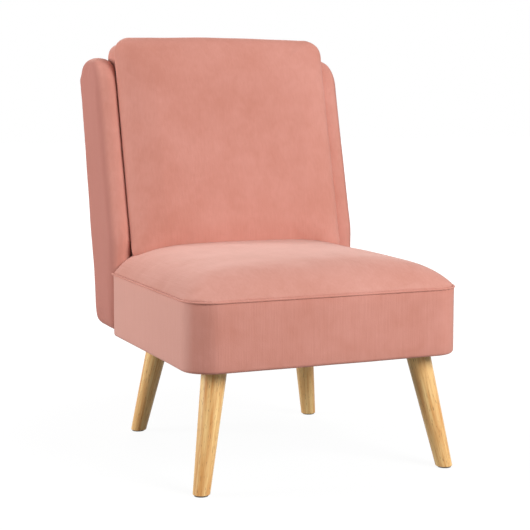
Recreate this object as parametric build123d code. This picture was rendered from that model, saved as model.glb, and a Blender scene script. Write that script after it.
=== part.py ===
from build123d import *
import os
from math import cos, hypot, radians, sin, tan

# An armless accent chair: a boxed seat on four splayed legs, and a reclined back cushion between two padded wings.
# Millimetres. Z is up from the floor, the chair faces -Y, X = 0 is its plane of symmetry, left is -X.
# Depths named here run back from the front face of the seat; shares are of the wings' reach behind the seat.

# Overall sizes
OVERALL_WIDTH = 593.0
OVERALL_HEIGHT = 896.0
SEAT_DEPTH = 498.0
WING_REACH = 242.0

# Seat box and its crowned top panel
SEAT_UNDERSIDE_Z = 239.0
SEAT_SEAM_Z = 375.5
SEAT_CROWN = 64.0
SEAT_CORNER_RADIUS = 62.0
CROWN_FRONT_RUN = 82.0
CROWN_SIDE_POWER = 4.5
CROWN_FRONT_POWER = 2.3
CROWN_LEVELS = (0.0, 0.22, 0.45, 0.68, 0.86, 0.965)

# Seat upholstery thicknesses
COVER = 2.0
COVER_FOLD = 14.0
WADDING = 8.0
FELT = 4.0
DUST_COVER = 1.0

# Seat frame
RAIL = 22.0
CORNER_POST = 60.0
LEG_BOARD = 18.0
FRONT_BOARD_DEPTH = 115.0
SPRING_SPACE = 10.0

# Zigzag springs and their clips
SPRING_COUNT = 5
SPRING_SPACING = 92.0
SPRING_RUNS = 19
SPRING_HALF_WIDTH = 22.0
SPRING_WIRE_RADIUS = 1.8
CLIP_SHEET = 1.2
CLIP_WIDTH = 18.0
CLIP_TAIL = 12.0
NAIL_RADIUS = 1.1
NAIL_HEAD_RADIUS = 2.6
NAIL_HEAD = 0.8
NAIL_LENGTH = 15.0

# Legs
LEG_TOP_RADIUS = 25.5
LEG_FOOT_RADIUS = 16.8
LEG_FOOT_EDGE = 1.5
FRONT_LEG_INSET = 72.5
FRONT_LEG_DEPTH = 67.0
FRONT_LEG_SPLAY_X = 44.7
FRONT_LEG_SPLAY_Y = 41.3
REAR_LEG_INSET = 123.0
REAR_LEG_SHARE = 0.124
REAR_LEG_SPLAY_X = 42.0
REAR_LEG_SPLAY_Y = 49.3
GLIDE = 2.5
GLIDE_RIM = 3.0
GLIDE_PIN_RADIUS = 2.5
GLIDE_PIN = 14.0
HANGER_RADIUS = 4.0
HANGER_IN_LEG = 38.0

# Back cushion
CUSHION_OVERLAP = 20.0
CUSHION_FRONT_Z = 453.0
CUSHION_RECLINE = 14.2
CUSHION_SHARE = 0.471
CUSHION_CROWN = 6.0
CUSHION_CROWN_RUN = 60.0
CUSHION_TUCK = 40.0
CUSHION_REAR_CORNER = 28.0
CUSHION_FRONT_CORNER = 34.0
CUSHION_BOTTOM_CORNER = 16.0
CUSHION_FRONT_ROUND = 30.0
CUSHION_SIDE_ROUND = 20.0
CUSHION_TOP_ROUND = 36.0
CUSHION_BOTTOM_ROUND = 16.0
CUSHION_REAR_ROUND = 24.0
CUSHION_REAR_SIDE = 8.0
CUSHION_REAR_TOP = 20.0
QUARTER_TURN_STEPS = (0.0, 22.5, 45.0, 67.5, 90.0)

# Wings
WING_THICKNESS = 50.0
WING_BOTTOM_Z = 243.0
WING_TOP_Z = 846.0
WING_KNEE_Z = 455.0
WING_KNEE_RADIUS = 120.0
WING_FRONT_RECLINE = 14.7
WING_REAR_RECLINE = 10.0
WING_FRONT_TOP_SHARE = 0.29
WING_REAR_TOP_SHARE = 0.149
WING_BOTTOM_RADIUS = 24.0
WING_EDGE_RADIUS = 20.0
WING_BOARD = 15.0
WING_BOARD_MARGIN = 18.0

# Back frame
POST = 24.0
BACK_RAIL_HEIGHT = 60.0
MIDDLE_RAIL_Z = 640.0
BOTTOM_RAIL_Z = 470.0
WEBBING = 1.5
WEBBING_WIDTH = 50.0
WEBBING_COUNT = 4
STIFFENER = 3.0
REAR_COVER = 3.0
REAR_RECESS = 3.0

# Fasteners
DOWEL_RADIUS = 4.0
DOWEL_HALF = 16.0
DOWEL_SPACING = 44.0
BACK_DOWEL_SPACING = 30.0
SCREW_RADIUS = 2.0
SCREW_HEAD_RADIUS = 4.0
SCREW_HEAD = 3.0
SCREW_LENGTH = 45.0
BACK_BOLT_RADIUS = 4.0
BACK_BOLT_SHARE = 0.3375
BACK_BOLT_CLEAR = 16.0
BACK_BOLT_STAGGER = 22.0
WING_BOLT_RADIUS = 3.0
WING_BOLT_ZS = (420.0, 555.0, 722.0)
TEE_FLANGE = 1.5
TEE_WALL = 1.5
WASHER = 1.6

# Clearances
SOFT_GAP = 0.4
FIT_GAP = 0.5
WING_GAP = 1.5
BOLT_GAP = 0.5
LEG_HOLE_GAP = 3.0

# Places that follow from the sizes above
OVERALL_DEPTH = SEAT_DEPTH + WING_REACH
FRONT = -OVERALL_DEPTH / 2
HALF = OVERALL_WIDTH / 2
SEAT_REAR = FRONT + SEAT_DEPTH
WING_FRONT_TOP_RADIUS = WING_FRONT_TOP_SHARE * WING_REACH
WING_REAR_TOP_RADIUS = WING_REAR_TOP_SHARE * WING_REACH
FRONT_LEG_X = HALF - FRONT_LEG_INSET
REAR_LEG_X = HALF - REAR_LEG_INSET
REAR_LEG_Y = SEAT_REAR + REAR_LEG_SHARE * WING_REACH
SEAT_TOP_Z = SEAT_SEAM_Z + SEAT_CROWN
FRAME_INSET = COVER + WADDING + 2 * SOFT_GAP
FRAME_HALF = HALF - FRAME_INSET
FRAME_FRONT = FRONT + FRAME_INSET
BOARD_Z = SEAT_UNDERSIDE_Z + COVER
RAIL_Z = BOARD_Z + LEG_BOARD
RAIL_TOP_Z = SEAT_SEAM_Z - SOFT_GAP - FELT - SPRING_SPACE
RAIL_MID_Z = (RAIL_Z + RAIL_TOP_Z) / 2
WING_INNER = HALF - WING_THICKNESS
POST_OUTER = WING_INNER - FIT_GAP
POST_INNER = POST_OUTER - POST
EXTENSION_OUTER = POST_INNER - FIT_GAP
EXTENSION_INNER = EXTENSION_OUTER - RAIL
EXTENSION_MID = (EXTENSION_OUTER + EXTENSION_INNER) / 2
CROSS_REAR = SEAT_REAR - COVER - SOFT_GAP
CROSS_FRONT = CROSS_REAR - RAIL
CROSS_MID = (CROSS_FRONT + CROSS_REAR) / 2
CORNER_INNER = FRAME_HALF - CORNER_POST
CORNER_REAR = FRAME_FRONT + CORNER_POST
FRONT_RAIL_MID = FRAME_FRONT + RAIL / 2
WING_FRONT = SEAT_REAR + WING_GAP
WING_MID_X = HALF - WING_THICKNESS / 2
REAR_STACK = REAR_RECESS + REAR_COVER + SOFT_GAP + STIFFENER
POST_BOTTOM_Z = WING_BOTTOM_Z + REAR_STACK
POST_TOP_Z = WING_TOP_Z - REAR_STACK
PANEL_BOTTOM_Z = WING_BOTTOM_Z + WING_BOTTOM_RADIUS
PANEL_TOP_Z = WING_TOP_Z - WING_REAR_TOP_RADIUS * (1 + sin(radians(WING_REAR_RECLINE)))
SIDES = (-1, 1)

LEAN = radians(CUSHION_RECLINE)
CUSHION_HALF = WING_INNER - SOFT_GAP
FRAME_SETBACK = SOFT_GAP + WEBBING
CUSHION_FOOT_Z = SEAT_TOP_Z - CUSHION_TUCK
CUSHION_FRONT_Y = SEAT_REAR - CUSHION_OVERLAP
CUSHION_THICKNESS = CUSHION_SHARE * WING_REACH
CUSHION_FOOT_Y = CUSHION_FRONT_Y + (CUSHION_FOOT_Z - CUSHION_FRONT_Z) * tan(LEAN)
CUSHION_REAR_Y = CUSHION_FOOT_Y + CUSHION_THICKNESS * cos(LEAN)
CUSHION_REAR_Z = CUSHION_FOOT_Z - CUSHION_THICKNESS * sin(LEAN)
CUSHION_PLANE = Plane(
    origin=(0, CUSHION_REAR_Y, CUSHION_REAR_Z),
    x_dir=(1, 0, 0),
    z_dir=(0, -cos(LEAN), sin(LEAN)),
)


def cushion_length():
    """Height of the cushion along its lean that brings its rounded top to the overall height."""
    round_reach = hypot(CUSHION_TOP_ROUND * cos(LEAN), CUSHION_FRONT_ROUND * sin(LEAN))
    round_centre = (CUSHION_THICKNESS - CUSHION_FRONT_ROUND) * sin(LEAN) + round_reach
    return (OVERALL_HEIGHT - CUSHION_REAR_Z - round_centre) / cos(LEAN) + CUSHION_TOP_ROUND


def lean_y(z, forward):
    """Y at height z of the plane that lies forward of the cushion's rear face."""
    return CUSHION_REAR_Y + (z - CUSHION_REAR_Z) * tan(LEAN) - forward / cos(LEAN)


def lean_height(z, forward):
    """Distance up the lean at height z, in the plane that lies forward of the cushion's rear face."""
    return (z - CUSHION_REAR_Z - forward * sin(LEAN)) / cos(LEAN)


def rear_y(z, depth):
    """Y at height z of the plane that lies a depth inside the rear edges of the wings."""
    lean = radians(WING_REAR_RECLINE)
    centre_y = FRONT + OVERALL_DEPTH - WING_REAR_TOP_RADIUS
    centre_z = WING_TOP_Z - WING_REAR_TOP_RADIUS
    return centre_y + (WING_REAR_TOP_RADIUS - depth + (z - centre_z) * sin(lean)) / cos(lean)


EXTENSION_REAR = rear_y(BOARD_Z, REAR_STACK) - FIT_GAP
REAR_RAIL_MID = EXTENSION_REAR - RAIL / 2
EXTENSION_SPACE = EXTENSION_REAR - RAIL - CROSS_REAR


def block(x0, x1, y0, y1, z0, z1):
    """Box between two opposite corners."""
    centre = Pos((x0 + x1) / 2, (y0 + y1) / 2, (z0 + z1) / 2)
    return centre * Box(abs(x1 - x0), y1 - y0, z1 - z0)


def rod(start, end, radius):
    """Round bar from one point to another."""
    axis = Vector(*end) - Vector(*start)
    bar = Cylinder(radius, axis.length, align=(Align.CENTER, Align.CENTER, Align.MIN))
    return Plane(origin=start, z_dir=axis) * bar


def side_profile(points, x0, x1):
    """Outline of (y, z) corners pushed along X."""
    face = make_face(Polyline(*points, close=True))
    return Pos(min(x0, x1), 0, 0) * extrude(Plane.YZ * face, abs(x1 - x0))


def seat_outline(inset, z, side=0.0, front=0.0):
    """Plan of the seat, drawn in by an inset, with rounded front corners that open up as the front draws in."""
    half = HALF - inset - side
    near = FRONT + inset + front
    far = SEAT_REAR - inset
    radius = SEAT_CORNER_RADIUS - inset + front
    corners = [(-half, far), (-half, near), (half, near), (half, far)]
    return Pos(0, 0, z) * make_face(FilletPolyline(*corners, radius=[0, radius, radius, 0], close=True))


def seat_slab(inset, z0, z1):
    """Upright slice of the seat box."""
    return extrude(seat_outline(inset, z0), z1 - z0)


def seat_crown(inset):
    """Crowned upper part of the seat above its seam: steep at the seam, nearly flat on top."""
    rise = (SEAT_CROWN - inset) / CROWN_LEVELS[-1]
    sections = []
    for level in CROWN_LEVELS:
        side = (HALF - inset) * (1 - (1 - level) ** (1 / CROWN_SIDE_POWER))
        front = CROWN_FRONT_RUN * (1 - (1 - level) ** (1 / CROWN_FRONT_POWER))
        sections.append(seat_outline(inset, SEAT_SEAM_Z + rise * level, side, front))
    return loft(sections)


def cushion_space(margin):
    """Space behind the leaning front of the back cushion, between the wings."""
    reach = OVERALL_HEIGHT
    half = CUSHION_HALF + SOFT_GAP + margin
    crown = CUSHION_CROWN * min(1, CUSHION_TUCK / cos(LEAN) / CUSHION_CROWN_RUN)
    front = CUSHION_THICKNESS + crown + FIT_GAP + margin
    solid = Pos(0, 0, front - reach / 2) * Box(2 * half, 2 * reach, reach)
    return CUSHION_PLANE * solid


def cushion_section(inset, forward, side, top, bottom, high_radius):
    """Front-view outline of the back cushion at one distance forward of its rear face."""
    half = CUSHION_HALF - inset - side
    low = inset + bottom
    high = cushion_length() - inset - top
    corners = [(-half, low), (half, low), (half, high), (-half, high)]
    low_radius = CUSHION_BOTTOM_CORNER
    radii = [low_radius, low_radius, high_radius, high_radius]
    face = make_face(FilletPolyline(*corners, radius=radii, close=True))
    return CUSHION_PLANE.offset(forward) * face


def cushion_solid(inset):
    """Back cushion with rounded edges all round and a slightly crowned front."""
    sections = []
    for turn in reversed(QUARTER_TURN_STEPS):
        swing = 1 - cos(radians(turn))
        forward = inset + (CUSHION_REAR_ROUND - inset) * (1 - sin(radians(turn)))
        side = (CUSHION_REAR_SIDE - inset) * swing
        top = (CUSHION_REAR_TOP - inset) * swing
        sections.append(cushion_section(inset, forward, side, top, side, CUSHION_REAR_CORNER))
    for turn in QUARTER_TURN_STEPS:
        swing = 1 - cos(radians(turn))
        lift = (CUSHION_FRONT_ROUND - inset) * (1 - sin(radians(turn)))
        side = (CUSHION_SIDE_ROUND - inset) * swing
        top = (CUSHION_TOP_ROUND - inset) * swing
        bottom = (CUSHION_BOTTOM_ROUND - inset) * swing
        forward = CUSHION_THICKNESS - inset - lift
        sections.append(cushion_section(inset, forward, side, top, bottom, CUSHION_FRONT_CORNER))
    crest = CUSHION_THICKNESS + CUSHION_CROWN - inset
    run = CUSHION_CROWN_RUN - inset
    side_run = CUSHION_SIDE_ROUND + run
    top_run = CUSHION_TOP_ROUND + run
    bottom_run = CUSHION_BOTTOM_ROUND + run
    sections.append(cushion_section(inset, crest, side_run, top_run, bottom_run, CUSHION_FRONT_CORNER))
    return loft(sections, ruled=True)


def wing_outline():
    """Side-view outline of a wing: upright at the seat, then reclined, with rounded corners."""
    recline = tan(radians(WING_FRONT_RECLINE))
    corners = [
        (WING_FRONT, WING_BOTTOM_Z),
        (rear_y(WING_BOTTOM_Z, 0), WING_BOTTOM_Z),
        (rear_y(WING_TOP_Z, 0), WING_TOP_Z),
        (WING_FRONT + (WING_TOP_Z - WING_KNEE_Z) * recline, WING_TOP_Z),
        (WING_FRONT, WING_KNEE_Z),
    ]
    radii = [
        WING_BOTTOM_RADIUS,
        WING_BOTTOM_RADIUS,
        WING_REAR_TOP_RADIUS,
        WING_FRONT_TOP_RADIUS,
        WING_KNEE_RADIUS,
    ]
    return make_face(FilletPolyline(*corners, radius=radii, close=True))


def wing_slab(margin, thickness):
    """Flat slice of a wing about its middle plane, drawn in from the outline by a margin."""
    outline = wing_outline()
    if margin > 0:
        outline = offset(outline, amount=-margin)
    return Pos(-thickness / 2, 0, 0) * extrude(Plane.YZ * outline, thickness)


def wing_pad(inset):
    """Rounded padded form of a wing about its middle plane."""
    slab = wing_slab(inset, WING_THICKNESS - 2 * inset)
    rims = slab.edges().filter_by(Axis.X, reverse=True)
    return fillet(rims, WING_EDGE_RADIUS - inset)


def leg(foot, top):
    """Tapered round leg between two plan points, cut level at the floor glide and at the leg board."""
    axis = Vector(top[0] - foot[0], top[1] - foot[1], BOARD_Z)
    run = LEG_TOP_RADIUS * 2
    taper = (LEG_TOP_RADIUS - LEG_FOOT_RADIUS) / axis.length
    start = Vector(foot[0], foot[1], 0) - axis.normalized() * run
    cone = Cone(
        LEG_FOOT_RADIUS - taper * run,
        LEG_TOP_RADIUS + taper * run,
        axis.length + 2 * run,
        align=(Align.CENTER, Align.CENTER, Align.MIN),
    )
    reach = OVERALL_WIDTH
    slab = Pos(foot[0], foot[1], 0) * block(-reach, reach, -reach, reach, GLIDE, BOARD_Z)
    body = (Plane(origin=start, z_dir=axis) * cone) & slab
    rim = body.edges().group_by(Axis.Z)[0]
    return fillet(rim, LEG_FOOT_EDGE)


def tee_nut(plane, depth, radius):
    """Tee nut standing on a plane: its flange lies on the plane and its barrel goes down into the wood."""
    centre = (Align.CENTER, Align.CENTER, Align.MIN)
    barrel = Pos(0, 0, -depth) * Cylinder(radius + TEE_WALL, depth, align=centre)
    flange = Cylinder(2.5 * radius, TEE_FLANGE, align=centre)
    bore = Pos(0, 0, -depth) * Cylinder(radius, depth + TEE_FLANGE, align=centre)
    return plane * (barrel + flange - bore)


def wood_screw(x, y):
    """Countersunk screw driven up through a leg board."""
    head = Cone(SCREW_HEAD_RADIUS, SCREW_RADIUS, SCREW_HEAD, align=(Align.CENTER, Align.CENTER, Align.MIN))
    shank = Cylinder(SCREW_RADIUS, SCREW_LENGTH, align=(Align.CENTER, Align.CENTER, Align.MIN))
    return Pos(x, y, BOARD_Z) * (head + shank)


def across(side, near, far, y, z, radius):
    """Round bar along X on one side of the chair, from one distance off the middle to another."""
    return rod((side * near, y, z), (side * far, y, z), radius)


nodes = {}

# Legs, hanger bolts, tee nuts and glides
leg_names = ("leg_front_left", "leg_front_right", "leg_rear_left", "leg_rear_right")
leg_tops = []
leg_feet = []
for side in SIDES:
    top = (side * FRONT_LEG_X, FRONT + FRONT_LEG_DEPTH)
    leg_tops.append(top)
    leg_feet.append((top[0] + side * FRONT_LEG_SPLAY_X, top[1] - FRONT_LEG_SPLAY_Y))
for side in SIDES:
    top = (side * REAR_LEG_X, REAR_LEG_Y)
    leg_tops.append(top)
    leg_feet.append((top[0] + side * REAR_LEG_SPLAY_X, top[1] + REAR_LEG_SPLAY_Y))

hanger_bolts = []
leg_tee_nuts = []
glides = []
leg_holes = []
for x, y in leg_tops:
    hanger_bolts.append(rod((x, y, BOARD_Z - HANGER_IN_LEG), (x, y, RAIL_Z + TEE_FLANGE), HANGER_RADIUS))
    leg_tee_nuts.append(tee_nut(Plane(origin=(x, y, RAIL_Z)), LEG_BOARD, HANGER_RADIUS))
    leg_holes.append(rod((x, y, BOARD_Z), (x, y, RAIL_Z), HANGER_RADIUS + TEE_WALL))
for x, y in leg_feet:
    pad = rod((x, y, 0), (x, y, GLIDE), LEG_FOOT_RADIUS - GLIDE_RIM)
    pin = rod((x, y, GLIDE), (x, y, GLIDE + GLIDE_PIN), GLIDE_PIN_RADIUS)
    glides.append(pad + pin)
for name, foot, top, bolt, glide in zip(leg_names, leg_feet, leg_tops, hanger_bolts, glides):
    nodes[name] = leg(foot, top) - bolt - glide
nodes["leg_hanger_bolts"] = Compound(hanger_bolts)
nodes["leg_tee_nuts"] = Compound(leg_tee_nuts)
nodes["foot_glides"] = Compound(glides)

# Seat frame dowels
seat_dowels = []
for side in SIDES:
    for z in (RAIL_MID_Z - DOWEL_SPACING / 2, RAIL_MID_Z + DOWEL_SPACING / 2):
        side_mid = side * (FRAME_HALF - RAIL / 2)
        end_x = FRAME_HALF - RAIL
        near_x = EXTENSION_INNER
        seat_dowels.append(across(side, CORNER_INNER - DOWEL_HALF, CORNER_INNER + DOWEL_HALF, FRONT_RAIL_MID, z, DOWEL_RADIUS))
        seat_dowels.append(
            rod((side_mid, CORNER_REAR - DOWEL_HALF, z), (side_mid, CORNER_REAR + DOWEL_HALF, z), DOWEL_RADIUS)
        )
        seat_dowels.append(across(side, end_x - DOWEL_HALF, end_x + DOWEL_HALF, CROSS_MID, z, DOWEL_RADIUS))
        extension_mid = side * EXTENSION_MID
        seat_dowels.append(
            rod((extension_mid, CROSS_REAR - DOWEL_HALF, z), (extension_mid, CROSS_REAR + DOWEL_HALF, z), DOWEL_RADIUS)
        )
        seat_dowels.append(across(side, near_x - DOWEL_HALF, near_x + DOWEL_HALF, REAR_RAIL_MID, z, DOWEL_RADIUS))
nodes["seat_frame_dowels"] = Compound(seat_dowels)

# Screws that hold the leg boards under the rails
board_screws = []
for side in SIDES:
    board_screws.append(wood_screw(side * (FRAME_HALF - RAIL), FRAME_FRONT + RAIL))
    board_screws.append(wood_screw(side * CORNER_INNER / 2, FRONT_RAIL_MID))
    board_screws.append(wood_screw(side * (FRAME_HALF - RAIL / 2), FRONT + FRONT_BOARD_DEPTH - RAIL / 2))
    board_screws.append(wood_screw(side * EXTENSION_INNER / 2, CROSS_MID))
    board_screws.append(wood_screw(side * EXTENSION_MID, (CROSS_REAR + EXTENSION_REAR) / 2))
    board_screws.append(wood_screw(side * EXTENSION_INNER / 2, REAR_RAIL_MID))
nodes["leg_board_screws"] = Compound(board_screws)

# Bolts that hold the back to the seat extension
bolt_places = (
    (CROSS_REAR + BACK_BOLT_SHARE * EXTENSION_SPACE, RAIL_MID_Z - BACK_BOLT_STAGGER / 2),
    (EXTENSION_REAR - RAIL - BACK_BOLT_CLEAR, RAIL_MID_Z + BACK_BOLT_STAGGER / 2),
)
back_bolts = []
back_washers = []
back_tee_nuts = []
back_bolt_holes = []
back_nut_holes = []
for side in SIDES:
    for y, z in bolt_places:
        head_x = EXTENSION_INNER - WASHER
        shank = across(side, head_x, POST_OUTER, y, z, BACK_BOLT_RADIUS)
        head = across(side, head_x - BACK_BOLT_RADIUS, head_x, y, z, 1.7 * BACK_BOLT_RADIUS)
        back_bolts.append(shank + head)
        washer = across(side, head_x, EXTENSION_INNER, y, z, 2.4 * BACK_BOLT_RADIUS)
        back_washers.append(washer - shank)
        seat_plane = Plane(origin=(side * (POST_OUTER - TEE_FLANGE), y, z), z_dir=(side, 0, 0))
        nut = tee_nut(seat_plane, POST / 2, BACK_BOLT_RADIUS)
        back_tee_nuts.append(nut)
        back_nut_holes.append(nut)
        back_nut_holes.append(shank)
        hole_radius = BACK_BOLT_RADIUS + BOLT_GAP
        back_bolt_holes.append(across(side, EXTENSION_INNER, POST_INNER, y, z, hole_radius))
        back_nut_holes.append(across(side, POST_INNER, POST_INNER + POST / 2 - TEE_FLANGE, y, z, hole_radius))
nodes["back_bolts"] = Compound(back_bolts)
nodes["back_bolt_washers"] = Compound(back_washers)
nodes["back_tee_nuts"] = Compound(back_tee_nuts)

# Springs with their clips and nails
spring_start = FRONT_RAIL_MID
spring_pitch = (CROSS_MID - FRONT_RAIL_MID) / (SPRING_RUNS - 1)
spring_z = RAIL_TOP_Z + CLIP_SHEET + SOFT_GAP + SPRING_WIRE_RADIUS
turns = []
for run in range(SPRING_RUNS):
    heading = 1 if run % 2 == 0 else -1
    y = spring_start + run * spring_pitch
    turns.append((-heading * SPRING_HALF_WIDTH, y, spring_z))
    turns.append((heading * SPRING_HALF_WIDTH, y, spring_z))
spring_path = FilletPolyline(*turns, radius=0.46 * spring_pitch)
spring = sweep(Plane(origin=spring_path @ 0, z_dir=spring_path % 0) * Circle(SPRING_WIRE_RADIUS), path=spring_path)

springs = []
clips = []
nails = []
curl = SPRING_WIRE_RADIUS + SOFT_GAP
for index in range(SPRING_COUNT):
    x = (index - (SPRING_COUNT - 1) / 2) * SPRING_SPACING
    springs.append(Pos(x, 0, 0) * spring)
    for y, away in ((FRONT_RAIL_MID, -1), (CROSS_MID, 1)):
        left = x - CLIP_WIDTH / 2
        right = x + CLIP_WIDTH / 2
        wrap = rod((left, y, spring_z), (right, y, spring_z), curl + CLIP_SHEET)
        hollow = rod((left, y, spring_z), (right, y, spring_z), curl)
        tail_end = y + away * CLIP_TAIL
        tail = block(left, right, min(y, tail_end), max(y, tail_end), RAIL_TOP_Z, RAIL_TOP_Z + CLIP_SHEET)
        mouth = y + away * (curl + CLIP_SHEET)
        opening = block(left, right, min(y, mouth), max(y, mouth), spring_z - curl / 2, spring_z + curl / 2)
        clip = wrap + tail - hollow - opening
        nail_y = y + away * (CLIP_TAIL + curl) / 2
        top = RAIL_TOP_Z + CLIP_SHEET
        shank = rod((x, nail_y, top - NAIL_LENGTH), (x, nail_y, top), NAIL_RADIUS)
        head = rod((x, nail_y, top), (x, nail_y, top + NAIL_HEAD), NAIL_HEAD_RADIUS)
        clips.append(clip - shank)
        nails.append(shank + head)
nodes["seat_springs"] = Compound(springs)
nodes["spring_clips"] = Compound(clips)
nodes["spring_clip_nails"] = Compound(nails)

# Seat frame
inner_side = FRAME_HALF - RAIL
nut_room = [rod((x, y, RAIL_Z), (x, y, RAIL_Z + 2 * TEE_FLANGE), 2.5 * HANGER_RADIUS + FIT_GAP) for x, y in leg_tops]
fasteners = seat_dowels + board_screws + nails

front_rail = block(-CORNER_INNER, CORNER_INNER, FRAME_FRONT, FRAME_FRONT + RAIL, RAIL_Z, RAIL_TOP_Z)
nodes["seat_front_rail"] = front_rail - fasteners
frame_slab = seat_slab(FRAME_INSET, RAIL_Z, RAIL_TOP_Z)
corner_posts = []
for side, name in zip(SIDES, ("left", "right")):
    near, far = sorted((side * CORNER_INNER, side * FRAME_HALF))
    corner = frame_slab & block(near, far, FRAME_FRONT, CORNER_REAR, RAIL_Z, RAIL_TOP_Z)
    corner_posts.append(corner - fasteners - nut_room)
    near, far = sorted((side * inner_side, side * FRAME_HALF))
    side_rail = block(near, far, CORNER_REAR, CROSS_REAR, RAIL_Z, RAIL_TOP_Z)
    nodes[f"seat_{name}_rail"] = side_rail - fasteners
    near, far = sorted((side * EXTENSION_INNER, side * EXTENSION_OUTER))
    extension = block(near, far, CROSS_REAR, EXTENSION_REAR, RAIL_Z, RAIL_TOP_Z)
    nodes[f"seat_{name}_extension_rail"] = extension - fasteners - back_bolt_holes
nodes["seat_corner_posts"] = Compound(corner_posts)
cross_rail = block(-inner_side, inner_side, CROSS_FRONT, CROSS_REAR, RAIL_Z, RAIL_TOP_Z)
nodes["seat_cross_rail"] = cross_rail - fasteners
rear_rail = block(-EXTENSION_INNER, EXTENSION_INNER, EXTENSION_REAR - RAIL, EXTENSION_REAR, RAIL_Z, RAIL_TOP_Z)
nodes["seat_rear_rail"] = rear_rail - fasteners
board_slab = seat_slab(FRAME_INSET, BOARD_Z, RAIL_Z)
front_board = board_slab & block(-HALF, HALF, FRONT, FRONT + FRONT_BOARD_DEPTH, BOARD_Z, RAIL_Z)
nodes["seat_front_leg_board"] = front_board - board_screws - leg_holes
rear_board = block(-EXTENSION_OUTER, EXTENSION_OUTER, CROSS_FRONT, EXTENSION_REAR, BOARD_Z, RAIL_Z)
nodes["seat_rear_leg_board"] = rear_board - board_screws - leg_holes

# Seat upholstery
felt_top = SEAT_SEAM_Z - SOFT_GAP
felt_base = felt_top - FELT
nodes["seat_felt_pad"] = seat_slab(FRAME_INSET, felt_base, felt_top) - cushion_space(COVER + SOFT_GAP)
foam_inset = COVER + SOFT_GAP
nodes["seat_foam"] = seat_crown(foam_inset) - cushion_space(foam_inset)
top_skin = seat_crown(0) - cushion_space(0)
top_hollow = seat_crown(COVER) - cushion_space(COVER)
nodes["seat_top_cover"] = top_skin - top_hollow

rear_opening = EXTENSION_OUTER + FIT_GAP
band_top = SEAT_SEAM_Z - SOFT_GAP
band = seat_slab(0, SEAT_UNDERSIDE_Z, band_top) - seat_slab(COVER, SEAT_UNDERSIDE_Z, band_top)
fold = seat_slab(0, SEAT_UNDERSIDE_Z, BOARD_Z) - seat_slab(COVER_FOLD, SEAT_UNDERSIDE_Z, BOARD_Z)
band_cut = block(-rear_opening, rear_opening, CROSS_FRONT, SEAT_REAR, SEAT_UNDERSIDE_Z, band_top)
nodes["seat_side_band"] = band + fold - band_cut
wadding_base = BOARD_Z + SOFT_GAP
wadding = seat_slab(COVER + SOFT_GAP, wadding_base, felt_base) - seat_slab(COVER + SOFT_GAP + WADDING, wadding_base, felt_base)
nodes["seat_side_wadding"] = wadding - block(-HALF, HALF, CROSS_FRONT, SEAT_REAR, wadding_base, felt_base)
cloth_inset = COVER_FOLD + SOFT_GAP
cloth = seat_slab(cloth_inset, BOARD_Z - DUST_COVER, BOARD_Z)
cloth_half = EXTENSION_OUTER - FIT_GAP
cloth_tail = block(-cloth_half, cloth_half, CROSS_FRONT, EXTENSION_REAR, BOARD_Z - DUST_COVER, BOARD_Z)
cloth_holes = [
    rod((x, y, BOARD_Z - DUST_COVER), (x, y, BOARD_Z), LEG_TOP_RADIUS + LEG_HOLE_GAP) for x, y in leg_tops
]
nodes["seat_dust_cover"] = cloth + cloth_tail - cloth_holes

# Wing bolts through the back posts into the wing boards
wing_bolts = []
wing_washers = []
wing_tee_nuts = []
wing_shanks = []
wing_post_holes = []
wing_pad_holes = []
board_outer = WING_MID_X + WING_BOARD / 2
for side in SIDES:
    for z in WING_BOLT_ZS:
        y = (lean_y(z, -FRAME_SETBACK) + rear_y(z, REAR_STACK)) / 2
        head_x = POST_INNER - WASHER
        shank = across(side, head_x, board_outer + TEE_FLANGE, y, z, WING_BOLT_RADIUS)
        head = across(side, head_x - WING_BOLT_RADIUS, head_x, y, z, 1.7 * WING_BOLT_RADIUS)
        wing_bolts.append(shank + head)
        wing_shanks.append(shank)
        wing_washers.append(across(side, head_x, POST_INNER, y, z, 2.4 * WING_BOLT_RADIUS) - shank)
        nut_plane = Plane(origin=(side * board_outer, y, z), z_dir=(side, 0, 0))
        wing_tee_nuts.append(tee_nut(nut_plane, WING_BOARD, WING_BOLT_RADIUS))
        wing_post_holes.append(across(side, POST_INNER, POST_OUTER, y, z, WING_BOLT_RADIUS + BOLT_GAP))
        wing_pad_holes.append(across(side, WING_INNER, WING_MID_X, y, z, WING_BOLT_RADIUS + BOLT_GAP))
        nut_room_radius = 2.5 * WING_BOLT_RADIUS + SOFT_GAP
        room_end = board_outer + TEE_FLANGE + SOFT_GAP
        wing_pad_holes.append(across(side, WING_MID_X, room_end, y, z, nut_room_radius))
nodes["wing_bolts"] = Compound(wing_bolts)
nodes["wing_bolt_washers"] = Compound(wing_washers)
nodes["wing_tee_nuts"] = Compound(wing_tee_nuts)

# Wings
foam_inset = COVER + SOFT_GAP
wing_skin = wing_pad(0) - wing_pad(COVER)
board_room = wing_slab(WING_BOARD_MARGIN - SOFT_GAP, WING_BOARD + 2 * SOFT_GAP)
wing_foam = wing_pad(foam_inset) - board_room
wing_board = wing_slab(WING_BOARD_MARGIN, WING_BOARD)
for side, name in zip(SIDES, ("left", "right")):
    place = Pos(side * WING_MID_X, 0, 0)
    nodes[f"wing_{name}_cover"] = place * wing_skin - wing_pad_holes
    nodes[f"wing_{name}_foam"] = place * wing_foam - wing_pad_holes
    nodes[f"wing_{name}_board"] = place * wing_board - wing_tee_nuts - wing_shanks

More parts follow.
